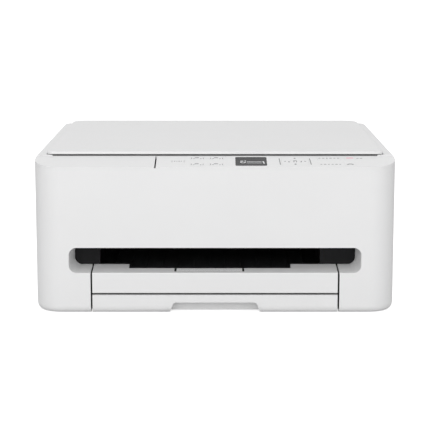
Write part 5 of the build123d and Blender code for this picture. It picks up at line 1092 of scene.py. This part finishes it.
def beside_printer(tree):
    """Mask that is one on the floor beside the printer and zero under it, so the glow stops at the printer's
    footprint: the dark band under the casing's edge is the floor's rendered shade, its outline a contact shadow
    painted by this mask.
    """
    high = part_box("lower_shell")[1]
    straight = (high.x - FRONT_CORNER, high.y - FRONT_CORNER, 0)
    vector = add(tree, "ShaderNodeTexCoord").outputs["Object"]
    for operation, value in (("ABSOLUTE", (0, 0, 0)), ("SUBTRACT", straight), ("MAXIMUM", (0, 0, 0))):
        vector = add(tree, "ShaderNodeVectorMath", {0: vector, 1: value}, operation=operation).outputs[0]
    far = add(tree, "ShaderNodeVectorMath", {0: vector}, operation="LENGTH").outputs["Value"]
    return add(tree, "ShaderNodeMapRange", {
        "Value": far, "From Min": FRONT_CORNER - GLOW_START, "From Max": FRONT_CORNER - GLOW_FULL}).outputs[0]


def make_floor(studio):
    """Plain pale floor, lit up to white for the camera only, with the glow cut off under the printer to paint a
    contact shadow.
    """
    bm = bmesh.new()
    bmesh.ops.create_grid(bm, x_segments=1, y_segments=1, size=FLOOR_HALF)
    obj = mesh_object("studio_floor", from_bmesh(bm, "studio_floor"))
    material, tree, shader = new_material("floor_pale")
    camera_ray = add(tree, "ShaderNodeLightPath").outputs["Is Camera Ray"]
    fill(tree, shader, {
        "Base Color": rgba(3 * (FLOOR_GREY,)), "Roughness": 0.9, "Specular IOR Level": 0.0,
        "Emission Color": maths(tree, "MULTIPLY", camera_ray, beside_printer(tree)),
        "Emission Strength": studio.floor_glow})
    obj.data.materials.append(material)


def make_tent(studio):
    """World light that is even above and in front, and darker to the sides."""
    world = bpy.data.worlds.new("light_tent")
    bpy.context.scene.world = world
    world.use_nodes = True
    tree = world.node_tree
    split = add(tree, "ShaderNodeSeparateXYZ", {0: add(tree, "ShaderNodeTexCoord").outputs["Generated"]})
    lean = maths(tree, "ADD", split.outputs["X"], studio.tent_lean)
    shade = add(tree, "ShaderNodeMapRange", {
        "Value": maths(tree, "MULTIPLY", lean, lean), "To Min": studio.tent,
        "To Max": studio.tent * (1 - studio.tent_sides)})
    fill(tree, tree.nodes["Background"], {"Strength": shade.outputs[0], "Color": (1, 1, 1, 1)})


def make_lamp(name, place, size, power):
    """Soft square lamp turned to the printer."""
    data = bpy.data.lights.new(name, "AREA")
    data.shape = "SQUARE"
    data.size = size
    data.energy = power
    lamp = bpy.data.objects.new(name, data)
    lamp.location = place
    direction = Vector(LAMP_TARGET) - Vector(place)
    lamp.rotation_euler = direction.to_track_quat("-Z", "Y").to_euler()
    bpy.context.scene.collection.objects.link(lamp)


def make_camera(studio):
    """Camera at the photograph's viewing angle."""
    data = bpy.data.cameras.new("view_camera")
    data.sensor_width = 36.0
    data.lens = studio.lens
    data.clip_end = 50.0
    camera = bpy.data.objects.new("view_camera", data)
    camera.location = (0.0, -studio.camera_back, studio.camera_height)
    camera.rotation_euler = (math.pi / 2 - studio.camera_pitch, 0.0, 0.0)
    bpy.context.scene.collection.objects.link(camera)
    bpy.context.scene.camera = camera


class PRINTER_PT_panel(bpy.types.Panel):
    """Sizes, colours and the steps of the printer's dressing"""
    bl_idname = "PRINTER_PT_panel"
    bl_label = "Printer"
    bl_space_type = "VIEW_3D"
    bl_region_type = "UI"
    bl_category = "Printer"

    def draw(self, context):
        layout = self.layout
        for name, kind in GROUPS.items():
            box = layout.box()
            for label in kind.__annotations__:
                box.prop(getattr(context.scene, name), label)
        for step in STEPS:
            layout.operator(step.bl_idname)


STEPS = (PRINTER_OT_finishes, PRINTER_OT_casings, PRINTER_OT_keys, PRINTER_OT_mechanism,
         PRINTER_OT_lid_pad, PRINTER_OT_studio)
GROUPS = {"printer_sizes": PrinterSizes, "printer_colours": PrinterColours, "printer_studio": PrinterStudio}


def register():
    """Registers the classes and the scene's settings."""
    for cls in tuple(GROUPS.values()) + STEPS + (PRINTER_PT_panel,):
        bpy.utils.register_class(cls)
    for name, cls in GROUPS.items():
        setattr(bpy.types.Scene, name, bpy.props.PointerProperty(type=cls))


def unregister():
    """Takes the classes and the settings away."""
    for name in GROUPS:
        delattr(bpy.types.Scene, name)
    for cls in reversed(tuple(GROUPS.values()) + STEPS + (PRINTER_PT_panel,)):
        bpy.utils.unregister_class(cls)


def main():
    """Runs the steps in order."""
    register()
    for step in STEPS:
        group, name = step.bl_idname.split(".")
        getattr(getattr(bpy.ops, group), name)()


if __name__ == "__main__":
    main()
